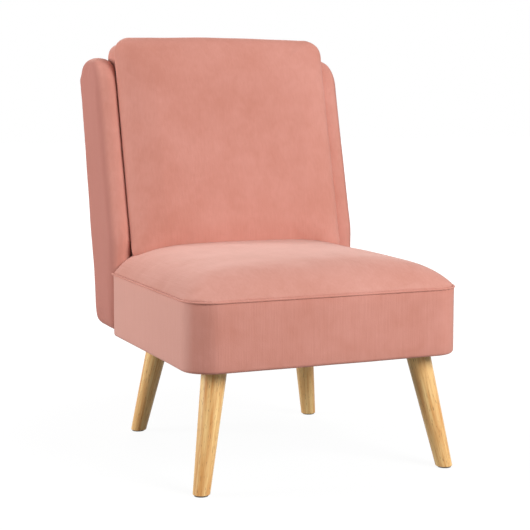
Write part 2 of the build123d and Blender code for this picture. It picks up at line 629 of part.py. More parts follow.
# Back frame
back_dowels = []
back_rails = {}
top_rail_z = POST_TOP_Z - BACK_RAIL_HEIGHT / 2
for name, z in (("top", top_rail_z), ("middle", MIDDLE_RAIL_Z), ("bottom", BOTTOM_RAIL_Z)):
    height = lean_height(z, -FRAME_SETBACK)
    if name == "top":
        height -= RAIL * tan(LEAN)
    place = CUSHION_PLANE * Pos(0, height, -FRAME_SETBACK - RAIL / 2)
    back_rails[name] = place * Box(2 * POST_INNER, BACK_RAIL_HEIGHT, RAIL)
    for side in SIDES:
        for step in (-BACK_DOWEL_SPACING / 2, BACK_DOWEL_SPACING / 2):
            pin = Rot(0, 90, 0) * Cylinder(DOWEL_RADIUS, 2 * DOWEL_HALF)
            back_dowels.append(place * Pos(side * POST_INNER, step, 0) * pin)
for name, rail in back_rails.items():
    nodes[f"back_{name}_rail"] = rail - back_dowels
nodes["back_frame_dowels"] = Compound(back_dowels)

post_corners = [
    (SEAT_REAR + WING_GAP, POST_BOTTOM_Z),
    (rear_y(POST_BOTTOM_Z, REAR_STACK), POST_BOTTOM_Z),
    (rear_y(POST_TOP_Z, REAR_STACK), POST_TOP_Z),
    (lean_y(POST_TOP_Z, -FRAME_SETBACK), POST_TOP_Z),
    (lean_y(RAIL_TOP_Z, -FRAME_SETBACK), RAIL_TOP_Z),
    (SEAT_REAR + WING_GAP, RAIL_TOP_Z),
]
frame_space = wing_slab(REAR_STACK, 2 * POST_OUTER)
for side, name in zip(SIDES, ("left", "right")):
    post = side_profile(post_corners, side * POST_INNER, side * POST_OUTER) & frame_space
    nodes[f"back_{name}_post"] = post - back_dowels - back_nut_holes - wing_post_holes

straps = []
strap_low = lean_height(BOTTOM_RAIL_Z, -FRAME_SETBACK)
strap_high = lean_height(top_rail_z, -FRAME_SETBACK) - RAIL * tan(LEAN)
for index in range(WEBBING_COUNT):
    height = strap_low + (strap_high - strap_low) * index / (WEBBING_COUNT - 1)
    strap = Pos(0, height, -SOFT_GAP - WEBBING / 2) * Box(2 * POST_OUTER, WEBBING_WIDTH, WEBBING)
    straps.append(CUSHION_PLANE * strap)
nodes["back_webbing_straps"] = Compound(straps)

# Back upholstery
cushion_hollow = cushion_solid(COVER)
nodes["back_cushion_cover"] = cushion_solid(0) - cushion_hollow
nodes["back_cushion_foam"] = cushion_solid(COVER + SOFT_GAP)
panel_depth = REAR_STACK - STIFFENER
panel_corners = [
    (rear_y(PANEL_BOTTOM_Z, REAR_STACK), PANEL_BOTTOM_Z),
    (rear_y(PANEL_BOTTOM_Z, panel_depth), PANEL_BOTTOM_Z),
    (rear_y(PANEL_TOP_Z, panel_depth), PANEL_TOP_Z),
    (rear_y(PANEL_TOP_Z, REAR_STACK), PANEL_TOP_Z),
]
nodes["back_stiffener_panel"] = side_profile(panel_corners, -POST_OUTER, POST_OUTER)
rear_skin = wing_slab(REAR_RECESS, 2 * POST_OUTER) - wing_slab(REAR_RECESS + REAR_COVER, 2 * POST_OUTER)
rear_corners = [
    (EXTENSION_REAR + FIT_GAP, WING_BOTTOM_Z),
    (rear_y(WING_TOP_Z, 0), WING_BOTTOM_Z),
    (rear_y(WING_TOP_Z, 0), WING_TOP_Z),
    (lean_y(WING_TOP_Z, -SOFT_GAP), WING_TOP_Z),
    (lean_y(MIDDLE_RAIL_Z, -SOFT_GAP), MIDDLE_RAIL_Z),
]
nodes["back_rear_cover"] = rear_skin & side_profile(rear_corners, -POST_OUTER, POST_OUTER)

os.makedirs("parts", exist_ok=True)
for name, shape in nodes.items():
    export_step(shape, f"parts/{name}.step")
print(len(nodes), "nodes")
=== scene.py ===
import logging
import math
from dataclasses import dataclass, field
from enum import Enum
from typing import Callable, Sequence

import bmesh
import bpy
from mathutils import Matrix, Vector, noise


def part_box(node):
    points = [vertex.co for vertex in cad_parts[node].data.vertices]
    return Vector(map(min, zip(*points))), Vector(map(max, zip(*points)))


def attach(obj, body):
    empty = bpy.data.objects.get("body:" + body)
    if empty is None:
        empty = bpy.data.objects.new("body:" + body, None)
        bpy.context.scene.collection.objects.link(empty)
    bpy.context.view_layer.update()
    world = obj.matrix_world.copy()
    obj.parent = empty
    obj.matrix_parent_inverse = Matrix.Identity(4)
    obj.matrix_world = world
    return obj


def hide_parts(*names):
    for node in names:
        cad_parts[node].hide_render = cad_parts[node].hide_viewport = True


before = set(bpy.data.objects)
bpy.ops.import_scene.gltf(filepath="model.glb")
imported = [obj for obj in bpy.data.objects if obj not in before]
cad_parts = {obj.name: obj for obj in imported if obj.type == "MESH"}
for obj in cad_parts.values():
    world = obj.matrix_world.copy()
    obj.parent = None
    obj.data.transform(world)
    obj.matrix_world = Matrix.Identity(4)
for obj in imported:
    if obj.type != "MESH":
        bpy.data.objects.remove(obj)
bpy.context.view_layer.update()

LOG = logging.getLogger("accent_chair")
MM = 0.001
SMOOTH_FACTOR = 0.5
LONG_EDGE = 60 * MM
CREASE = math.radians(40)
FACING = 0.9
NEARLY_NOTHING = 1e-9
# Numbers of a Mix node's colour sockets: its two inputs and its output.
MIX_A = 6
MIX_B = 7
MIX_OUT = 2

FaceTest = Callable[[Vector, Vector], bool]
EdgeTest = Callable[[Vector, Vector], bool]
PointTest = Callable[[Vector], float]


class NapAxis(Enum):
    """Direction in which the pile of a velvet panel is brushed."""

    UPRIGHT = "upright"
    FORWARD = "forward"


class Side(Enum):
    """Side of the chair as seen from in front, with the sign of its X."""

    LEFT = -1
    RIGHT = 1


def linear(hex_colour: str) -> tuple[float, float, float, float]:
    """Turns an sRGB hex colour into a linear one.

    Args:
        hex_colour: Hash sign and six hex digits.

    Returns:
        Linear red, green, blue and alpha.
    """
    values = [int(hex_colour[i:i + 2], 16) / 255 for i in (1, 3, 5)]
    red, green, blue = [v / 12.92 if v <= 0.04045 else ((v + 0.055) / 1.055) ** 2.4 for v in values]
    return red, green, blue, 1.0


def unit_share(value: float) -> float:
    """Keeps a share between 0 and 1."""
    return min(1.0, max(0.0, value))


def add_node(
    tree: bpy.types.NodeTree,
    kind: str,
    settings: dict[str, object] | None = None,
    sockets: dict[str | int, object] | None = None,
) -> bpy.types.Node:
    """Adds a shader node with its settings and links.

    Args:
        tree: Node tree that gets the node.
        kind: Type name of the node.
        settings: Properties to set on the node.
        sockets: Inputs by name or number, each a value or the output that feeds it.

    Returns:
        The new node.
    """
    node = tree.nodes.new(kind)
    for name, value in (settings or {}).items():
        setattr(node, name, value)
    for name, value in (sockets or {}).items():
        if isinstance(value, bpy.types.NodeSocket):
            tree.links.new(value, node.inputs[name])
        else:
            node.inputs[name].default_value = value
    return node


def new_tree(name: str) -> tuple[bpy.types.Material, bpy.types.NodeTree]:
    """Makes a material with an empty node tree.

    Args:
        name: Name of the material.

    Returns:
        The material and its tree.
    """
    material = bpy.data.materials.new(name)
    material.use_nodes = True
    material.node_tree.nodes.clear()
    return material, material.node_tree


@dataclass(frozen=True)
class Velvet:
    """Short-pile cotton velvet in a dusty pink."""

    # Cut pile stands on end: deep and matt where one looks into it, with a pale bloom where its
    # tips are seen at a glance. Brushing leaves clouds and streaks in the nap. Faces turned to the
    # sides get a painted tone: painted shade where the side colour is darker than the cloth, painted
    # light where it is paler. Real pile is too fine to show, so its streaks and tufts are drawn at a
    # few millimetres.
    name: str
    nap: NapAxis
    deep: str = "#c98777"
    brushed: str = "#d49486"
    bloom: str = "#f7ded6"
    sheen: float = 0.5
    # Painted tone for faces turned to the sides: painted shade where it is darker than the cloth,
    # painted light where it is paler. side_share sets how much; painted_side_from and painted_side_full
    # set how far a face must turn.
    side: str = "#ce8d7e"
    side_share: float = 0.0
    painted_side_from: float = 0.75
    cloud: float = 120 * MM
    stroke: float = 34 * MM
    streak_width: float = 4.2 * MM
    streak_length: float = 70 * MM
    tuft: float = 2.6 * MM
    stroke_share: float = 0.45
    streak_share: float = 0.4
    tuft_share: float = 0.6
    brush_range: tuple[float, float] = (0.66, 1.2)
    painted_side_full: float = 0.98
    pile_depth: float = 1.2 * MM

    def material(self) -> bpy.types.Material:
        """Builds the velvet material.

        Returns:
            Material with brushed clouds, nap streaks, pile bump, a sheen at grazing angles and a
            painted tone on faces turned to the sides: painted shade where darker than the cloth,
            painted light where paler.
        """
        material, tree = new_tree(self.name)
        surface = add_node(tree, "ShaderNodeTexCoord")
        place = surface.outputs["Object"]
        across = 1 / self.streak_width
        along = 1 / self.streak_length
        upright = self.nap is NapAxis.UPRIGHT
        stretch = (across, across, along) if upright else (across, along, across)
        run = add_node(tree, "ShaderNodeMapping", sockets={"Vector": place, "Scale": stretch})
        clouds = add_node(tree, "ShaderNodeTexNoise", sockets={
            "Vector": place, "Scale": 1 / self.cloud, "Detail": 3.0, "Roughness": 0.55,
        })
        strokes = add_node(tree, "ShaderNodeTexNoise", sockets={
            "Vector": place, "Scale": 1 / self.stroke, "Detail": 2.0, "Distortion": 0.8,
        })
        streaks = add_node(tree, "ShaderNodeTexNoise", sockets={
            "Vector": run.outputs["Vector"], "Scale": 1.0, "Detail": 3.0,
        })
        tufts = add_node(tree, "ShaderNodeTexNoise", sockets={
            "Vector": place, "Scale": 1 / self.tuft, "Detail": 2.0,
        })
        broad = add_node(tree, "ShaderNodeMath", {"operation": "MULTIPLY_ADD"}, {
            0: strokes.outputs["Fac"], 1: self.stroke_share, 2: clouds.outputs["Fac"],
        })
        fine = add_node(tree, "ShaderNodeMath", {"operation": "MULTIPLY_ADD"}, {
            0: streaks.outputs["Fac"], 1: self.streak_share, 2: broad.outputs["Value"],
        })
        brush = add_node(tree, "ShaderNodeMapRange", sockets={
            "Value": fine.outputs["Value"],
            "From Min": self.brush_range[0],
            "From Max": self.brush_range[1],
        })
        cloth = add_node(tree, "ShaderNodeMix", {"data_type": "RGBA"}, {
            0: brush.outputs["Result"], MIX_A: linear(self.deep), MIX_B: linear(self.brushed),
        })
        # Painted tone: faces turned to the sides are mixed toward the side colour, which paints shade
        # on the wings and light on the seat band.
        facing = add_node(tree, "ShaderNodeSeparateXYZ", sockets={0: surface.outputs["Normal"]})
        sideways = add_node(tree, "ShaderNodeMath", {"operation": "ABSOLUTE"}, {
            0: facing.outputs["X"],
        })
        painted_side_tone = add_node(tree, "ShaderNodeMapRange", {"interpolation_type": "SMOOTHSTEP"}, {
            "Value": sideways.outputs["Value"],
            "From Min": self.painted_side_from,
            "From Max": self.painted_side_full,
            "To Max": self.side_share,
        })
        colour = add_node(tree, "ShaderNodeMix", {"data_type": "RGBA"}, {
            0: painted_side_tone.outputs["Result"], MIX_A: cloth.outputs[MIX_OUT], MIX_B: linear(self.side),
        })
        pile = add_node(tree, "ShaderNodeMath", {"operation": "MULTIPLY_ADD"}, {
            0: tufts.outputs["Fac"], 1: self.tuft_share, 2: streaks.outputs["Fac"],
        })
        bump = add_node(tree, "ShaderNodeBump", sockets={
            "Height": pile.outputs["Value"], "Strength": 0.35, "Distance": self.pile_depth,
        })
        shader = add_node(tree, "ShaderNodeBsdfPrincipled", sockets={
            "Base Color": colour.outputs[MIX_OUT],
            "Roughness": 0.9,
            "Specular IOR Level": 0.15,
            "Sheen Weight": self.sheen,
            "Sheen Roughness": 0.35,
            "Sheen Tint": linear(self.bloom),
            "Normal": bump.outputs["Normal"],
        })
        add_node(tree, "ShaderNodeOutputMaterial", sockets={"Surface": shader.outputs["BSDF"]})
        return material


@dataclass(frozen=True)
class LacqueredAsh:
    """Golden ash, turned and sanded, under a satin lacquer."""

    # Ring-porous wood shows broad bands of growth, fine lines of grain and open pores as short brown
    # dashes along the leg, under a soft highlight. Real pores are about 0.3 mm wide and too fine to
    # show, so they are drawn several times as wide.
    name: str
    axis: tuple[float, float, float]
    pale: str = "#fdd895"
    dark: str = "#d89a56"
    pore: str = "#8f5d33"
    ring: float = 9 * MM
    ring_length: float = 190 * MM
    line_width: float = 2.2 * MM
    line_length: float = 70 * MM
    pore_width: float = 1.7 * MM
    pore_length: float = 13 * MM
    line_share: float = 0.7
    tone_range: tuple[float, float] = (0.62, 1.12)
    pore_range: tuple[float, float] = (0.64, 0.74)
    pore_tone: float = 0.7
    pore_depth: float = 0.3 * MM

    def material(self) -> bpy.types.Material:
        """Builds the wood material with its grain turned along the axis.

        Returns:
            Material with broad growth bands, fine grain lines, pores and a satin coat.
        """
        material, tree = new_tree(self.name)
        place = add_node(tree, "ShaderNodeTexCoord").outputs["Object"]
        turn = Vector(self.axis).rotation_difference(Vector((0, 0, 1))).to_euler()
        upright = add_node(tree, "ShaderNodeMapping", sockets={"Vector": place, "Rotation": turn})
        bands = self.grain(tree, upright, self.ring, self.ring_length, 2.0)
        lines = self.grain(tree, upright, self.line_width, self.line_length, 3.0)
        pores = self.grain(tree, upright, self.pore_width, self.pore_length, 1.0)
        figure = add_node(tree, "ShaderNodeMath", {"operation": "MULTIPLY_ADD"}, {
            0: lines, 1: self.line_share, 2: bands,
        })
        tone = add_node(tree, "ShaderNodeMapRange", sockets={
            "Value": figure.outputs["Value"],
            "From Min": self.tone_range[0],
            "From Max": self.tone_range[1],
        })
        wood = add_node(tree, "ShaderNodeMix", {"data_type": "RGBA"}, {
            0: tone.outputs["Result"], MIX_A: linear(self.dark), MIX_B: linear(self.pale),
        })
        open_pores = add_node(tree, "ShaderNodeMapRange", sockets={
            "Value": pores,
            "From Min": self.pore_range[0],
            "From Max": self.pore_range[1],
            "To Max": self.pore_tone,
        })
        colour = add_node(tree, "ShaderNodeMix", {"data_type": "RGBA"}, {
            0: open_pores.outputs["Result"], MIX_A: wood.outputs[MIX_OUT], MIX_B: linear(self.pore),
        })
        bump = add_node(tree, "ShaderNodeBump", {"invert": True}, {
            "Height": open_pores.outputs["Result"], "Strength": 0.25, "Distance": self.pore_depth,
        })
        shader = add_node(tree, "ShaderNodeBsdfPrincipled", sockets={
            "Base Color": colour.outputs[MIX_OUT],
            "Roughness": 0.48,
            "Specular IOR Level": 0.35,
            "Coat Weight": 0.12,
            "Coat Roughness": 0.3,
            "Normal": bump.outputs["Normal"],
        })
        add_node(tree, "ShaderNodeOutputMaterial", sockets={"Surface": shader.outputs["BSDF"]})
        return material

    def grain(
        self,
        tree: bpy.types.NodeTree,
        upright: bpy.types.Node,
        width: float,
        length: float,
        detail: float,
    ) -> bpy.types.NodeSocket:
        """Adds one layer of noise drawn out along the grain.

        Args:
            tree: Tree of the material.
            upright: Mapping node whose Z runs along the leg.
            width: Size of the pattern across the grain, in metres.
            length: Size of the pattern along the grain, in metres.
            detail: Number of finer layers in the noise.

        Returns:
            The output socket of the noise.
        """
        drawn = add_node(tree, "ShaderNodeMapping", sockets={
            "Vector": upright.outputs["Vector"], "Scale": (1 / width, 1 / width, 1 / length),
        })
        layer = add_node(tree, "ShaderNodeTexNoise", sockets={
            "Vector": drawn.outputs["Vector"], "Scale": 1.0, "Detail": detail,
        })
        return layer.outputs["Fac"]


@dataclass(frozen=True)
class Speckled:
    """Plain material of a hidden or underside piece: two tones in a grain of its own size."""

    # Each finish is named for its real material, and a comment beside it says how that looks.
    # Grain and fibre too fine to show are drawn at 2 mm or more.
    name: str
    light: str
    dark: str
    grain: tuple[float, float, float]
    roughness: float = 0.7
    metallic: float = 0.0
    relief: float = 0.2 * MM
    tone_range: tuple[float, float] = (0.3, 0.7)

    def material(self) -> bpy.types.Material:
        """Builds the material.

        Returns:
            Material whose colour and bump follow one stretched noise.
        """
        material, tree = new_tree(self.name)
        place = add_node(tree, "ShaderNodeTexCoord").outputs["Object"]
        stretch = tuple(1 / size for size in self.grain)
        drawn = add_node(tree, "ShaderNodeMapping", sockets={"Vector": place, "Scale": stretch})
        flecks = add_node(tree, "ShaderNodeTexNoise", sockets={
            "Vector": drawn.outputs["Vector"], "Scale": 1.0, "Detail": 3.0,
        })
        tone = add_node(tree, "ShaderNodeMapRange", sockets={
            "Value": flecks.outputs["Fac"],
            "From Min": self.tone_range[0],
            "From Max": self.tone_range[1],
        })
        colour = add_node(tree, "ShaderNodeMix", {"data_type": "RGBA"}, {
            0: tone.outputs["Result"], MIX_A: linear(self.dark), MIX_B: linear(self.light),
        })
        bump = add_node(tree, "ShaderNodeBump", sockets={
            "Height": flecks.outputs["Fac"], "Strength": 0.3, "Distance": self.relief,
        })
        shader = add_node(tree, "ShaderNodeBsdfPrincipled", sockets={
            "Base Color": colour.outputs[MIX_OUT],
            "Roughness": self.roughness,
            "Metallic": self.metallic,
            "Normal": bump.outputs["Normal"],
        })
        add_node(tree, "ShaderNodeOutputMaterial", sockets={"Surface": shader.outputs["BSDF"]})
        return material


def clear_selection() -> None:
    """Goes back to object mode with nothing selected."""
    if bpy.context.object is not None and bpy.context.object.mode != "OBJECT":
        bpy.ops.object.mode_set(mode="OBJECT")
    bpy.ops.object.select_all(action="DESELECT")


def make_active(piece: bpy.types.Object) -> None:
    """Selects one piece alone and makes it the active one.

    Args:
        piece: Piece that the next operators act on.
    """
    clear_selection()
    piece.select_set(True)
    bpy.context.view_layer.objects.active = piece


def add_block(name: str, low: Vector, high: Vector) -> bpy.types.Object:
    """Adds a box between two corners, with its origin at the world's.

    Args:
        name: Name of the new piece.
        low: Lowest corner in metres.
        high: Highest corner in metres.

    Returns:
        The new piece.
    """
    clear_selection()
    bpy.ops.mesh.primitive_cube_add(size=1.0, location=(low + high) / 2)
    piece = bpy.context.object
    piece.name = name
    piece.data.name = name
    piece.scale = high - low
    bpy.ops.object.transform_apply(location=True, rotation=False, scale=True)
    return piece


def apply_modifier(piece: bpy.types.Object, kind: str, settings: dict[str, object]) -> None:
    """Adds one modifier with its settings and applies it.

    Args:
        piece: Piece that gets it.
        kind: Type of the modifier.
        settings: Properties of the modifier.
    """
    make_active(piece)
    modifier = piece.modifiers.new(kind.title(), kind)
    for name, value in settings.items():
        setattr(modifier, name, value)
    bpy.ops.object.modifier_apply(modifier=modifier.name)


def press_against(piece: bpy.types.Object, neighbour: bpy.types.Object, gap: float) -> None:
    """Moves the points of a soft piece that lie inside its neighbour out to the neighbour's surface.

    Args:
        piece: Soft piece that gives way.
        neighbour: Finished piece that keeps its shape.
        gap: Room left between the two, in metres.
    """
    apply_modifier(piece, "SHRINKWRAP", {
        "target": neighbour,
        "wrap_method": "NEAREST_SURFACEPOINT",
        "wrap_mode": "OUTSIDE",
        "offset": gap,
    })


def copy_piece(piece: bpy.types.Object, name: str) -> bpy.types.Object:
    """Copies a piece with a mesh of its own.

    Args:
        piece: Piece to copy.
        name: Name of the copy.

    Returns:
        The copy, in the same place.
    """
    copy = piece.copy()
    copy.data = piece.data.copy()
    copy.name = name
    copy.data.name = name
    bpy.context.scene.collection.objects.link(copy)
    return copy


def front_corners(limit: float) -> EdgeTest:
    """Makes a test for the edges ahead of a limit that do not run across the chair."""
    return lambda a, b: a.y < limit and b.y < limit and abs(a.x - b.x) < MM


class Bench:
    """Edit-mode tools on one piece, entered with a with statement."""

    def __init__(self, piece: bpy.types.Object) -> None:
        """Keeps the piece to work on."""
        self.piece = piece

    def __enter__(self) -> "Bench":
        """Opens edit mode with nothing selected.

        Returns:
            The bench itself.
        """
        make_active(self.piece)
        bpy.ops.object.mode_set(mode="EDIT")
        bpy.ops.mesh.select_all(action="DESELECT")
        return self

    def __exit__(self, *problem: object) -> None:
        """Goes back to object mode."""
        bpy.ops.object.mode_set(mode="OBJECT")

    def pick_faces(self, test: FaceTest) -> int:
        """Selects the faces whose centre and normal pass the test and returns their number."""
        form = self.start_pick("FACE")
        return self.pick([f for f in form.faces if test(f.calc_center_median(), f.normal)])

    def pick_edges(self, test: EdgeTest) -> int:
        """Selects the edges whose two ends pass the test and returns their number."""
        form = self.start_pick("EDGE")
        return self.pick([e for e in form.edges if test(e.verts[0].co, e.verts[1].co)])

    def start_pick(self, mode: str) -> bmesh.types.BMesh:
        """Clears the selection and opens the mesh for a new one.

        Args:
            mode: Kind of part to select, FACE or EDGE.

        Returns:
            The open mesh.
        """
        bpy.ops.mesh.select_mode(type=mode)
        bpy.ops.mesh.select_all(action="DESELECT")
        return bmesh.from_edit_mesh(self.piece.data)

    def pick(self, parts: list[bmesh.types.BMFace] | list[bmesh.types.BMEdge]) -> int:
        """Selects faces or edges.

        Args:
            parts: Faces or edges of the open mesh.

        Returns:
            How many there are.
        """
        for part in parts:
            part.select_set(True)
        bmesh.update_edit_mesh(self.piece.data)
        return len(parts)

    def round_edges(self, test: EdgeTest, offset: float, segments: int) -> None:
        """Bevels the edges that pass the test.

        Args:
            test: Test on the two ends of an edge.
            offset: Distance of the bevel from the edge, in metres.
            segments: Number of faces round the bevel.
        """
        if self.pick_edges(test):
            bpy.ops.mesh.bevel(offset=offset, segments=segments, profile=0.5, affect="EDGES")

    def step(self, move: Vector, scale: Vector, centre: Vector) -> None:
        """Extrudes the selected face and resizes the new one.

        Args:
            move: Way the new face is pushed out, in metres.
            scale: Size of the new face over that of the old one on each axis.
            centre: Point that the resize leaves in place.
        """
        bpy.ops.mesh.extrude_region_move(TRANSFORM_OT_translate={"value": move})
        bpy.ops.transform.resize(value=scale, center_override=centre)

    def slice(self, point: Vector, normal: Vector) -> None:
        """Cuts away what lies beyond a plane, on the side of its normal, and closes the cut."""
        bpy.ops.mesh.select_all(action="SELECT")
        bpy.ops.mesh.bisect(plane_co=point, plane_no=normal, use_fill=True, clear_outer=True)

    def score(self, point: Vector, normal: Vector) -> None:
        """Cuts the whole mesh along a plane and keeps both sides."""
        bpy.ops.mesh.select_all(action="SELECT")
        bpy.ops.mesh.bisect(plane_co=point, plane_no=normal)

    def divide_long(self, limit: float, cuts: int) -> None:
        """Subdivides the edges that are longer than a limit."""
        self.pick_edges(lambda a, b: (a - b).length > limit)
        bpy.ops.mesh.subdivide(number_cuts=cuts)


@dataclass(frozen=True)
class Stuffing:
    """Cloth simulation that fills a closed cover from inside."""

    voxel: float = 6 * MM
    pressure: float = 4.0
    frames: int = 20
    reach: float = 8 * MM
    skin_rounds: int = 2
    quality: int = 5
    mass: float = 0.3
    stiffness: float = 15.0
    shear: float = 5.0
    bending: float = 0.5

    def skin(self, piece: bpy.types.Object) -> None:
        """Gives the piece an even skin of small faces.

        Args:
            piece: Closed block in the shape of the cover.
        """
        apply_modifier(piece, "REMESH", {
            "mode": "VOXEL", "voxel_size": self.voxel, "adaptivity": 0.0,
        })
        apply_modifier(piece, "SMOOTH", {"factor": SMOOTH_FACTOR, "iterations": self.skin_rounds})

    def fill(self, piece: bpy.types.Object, hold: PointTest) -> None:
        """Blows the cover up, keeps each point within reach of its place and rounds the faces.

        Args:
            piece: Closed cover with an even skin.
            hold: How firmly a point is held, from 0 for free to 1 for fixed.
        """
        start = [vertex.co.copy() for vertex in piece.data.vertices]
        self.simulate(piece, hold)
        for vertex, place in zip(piece.data.vertices, start):
            move = vertex.co - place
            length = move.length
            if length > NEARLY_NOTHING:
                vertex.co = place + move * (self.reach * math.tanh(length / self.reach) / length)
        apply_modifier(piece, "SUBSURF", {"levels": 1, "render_levels": 1})

    def simulate(self, piece: bpy.types.Object, hold: PointTest) -> None:
        """Runs the pressure simulation and applies it.

        Args:
            piece: Closed cover with an even skin.
            hold: How firmly a point is held, from 0 for free to 1 for fixed.
        """
        make_active(piece)
        held = piece.vertex_groups.new(name="held")
        for vertex in piece.data.vertices:
            held.add([vertex.index], hold(vertex.co), "REPLACE")
        cloth = piece.modifiers.new("Stuffing", "CLOTH")
        cloth.settings.quality = self.quality
        cloth.settings.mass = self.mass
        cloth.settings.tension_stiffness = self.stiffness
        cloth.settings.compression_stiffness = self.stiffness
        cloth.settings.shear_stiffness = self.shear
        cloth.settings.bending_stiffness = self.bending
        cloth.settings.use_pressure = True
        cloth.settings.uniform_pressure_force = self.pressure
        cloth.settings.effector_weights.gravity = 0
        cloth.settings.vertex_group_mass = held.name
        cloth.collision_settings.use_collision = False
        cloth.point_cache.frame_start = 1
        cloth.point_cache.frame_end = self.frames
        for number in range(1, self.frames + 1):
            bpy.context.scene.frame_set(number)
        bpy.ops.object.modifier_apply(modifier=cloth.name)
        piece.vertex_groups.clear()
        bpy.context.scene.frame_set(1)


@dataclass(frozen=True)
class Rumple:
    """Slight unevenness of a stuffed cover, drawn from a fixed noise."""

    size: float = 85 * MM
    depth: float = 0.9 * MM

    def work(self, piece: bpy.types.Object) -> None:
        """Moves each point of the piece a little along its normal.

        Args:
            piece: Piece with small faces.
        """
        points = piece.data.vertices
        shifts = [p.normal * noise.noise(p.co / self.size) * self.depth for p in points]
        for vertex, shift in zip(points, shifts):
            vertex.co += shift


def dress(piece: bpy.types.Object, material: bpy.types.Material) -> None:
    """Gives a velvet piece its one material, smooth shading, slot and body.

    Args:
        piece: Finished mesh.
        material: Its velvet.
    """
    piece.data.materials.clear()
    piece.data.materials.append(material)
    make_active(piece)
    bpy.ops.object.shade_smooth()
    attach(piece, "root")


@dataclass
class BackLean:
    """Frame of the leaning back cushion: where its lower rear edge is and how far it leans."""

    lean: float = math.radians(14.2)
    rear_y: float = 204.98 * MM
    rear_z: float = 371.53 * MM
    thickness: float = 114 * MM
    length: float = 519 * MM

    def matrix(self) -> Matrix:
        """Returns the turn and shift from the cushion's own frame to the chair's."""
        shift = Matrix.Translation((0, self.rear_y, self.rear_z))
        return shift @ Matrix.Rotation(-self.lean, 4, "X")


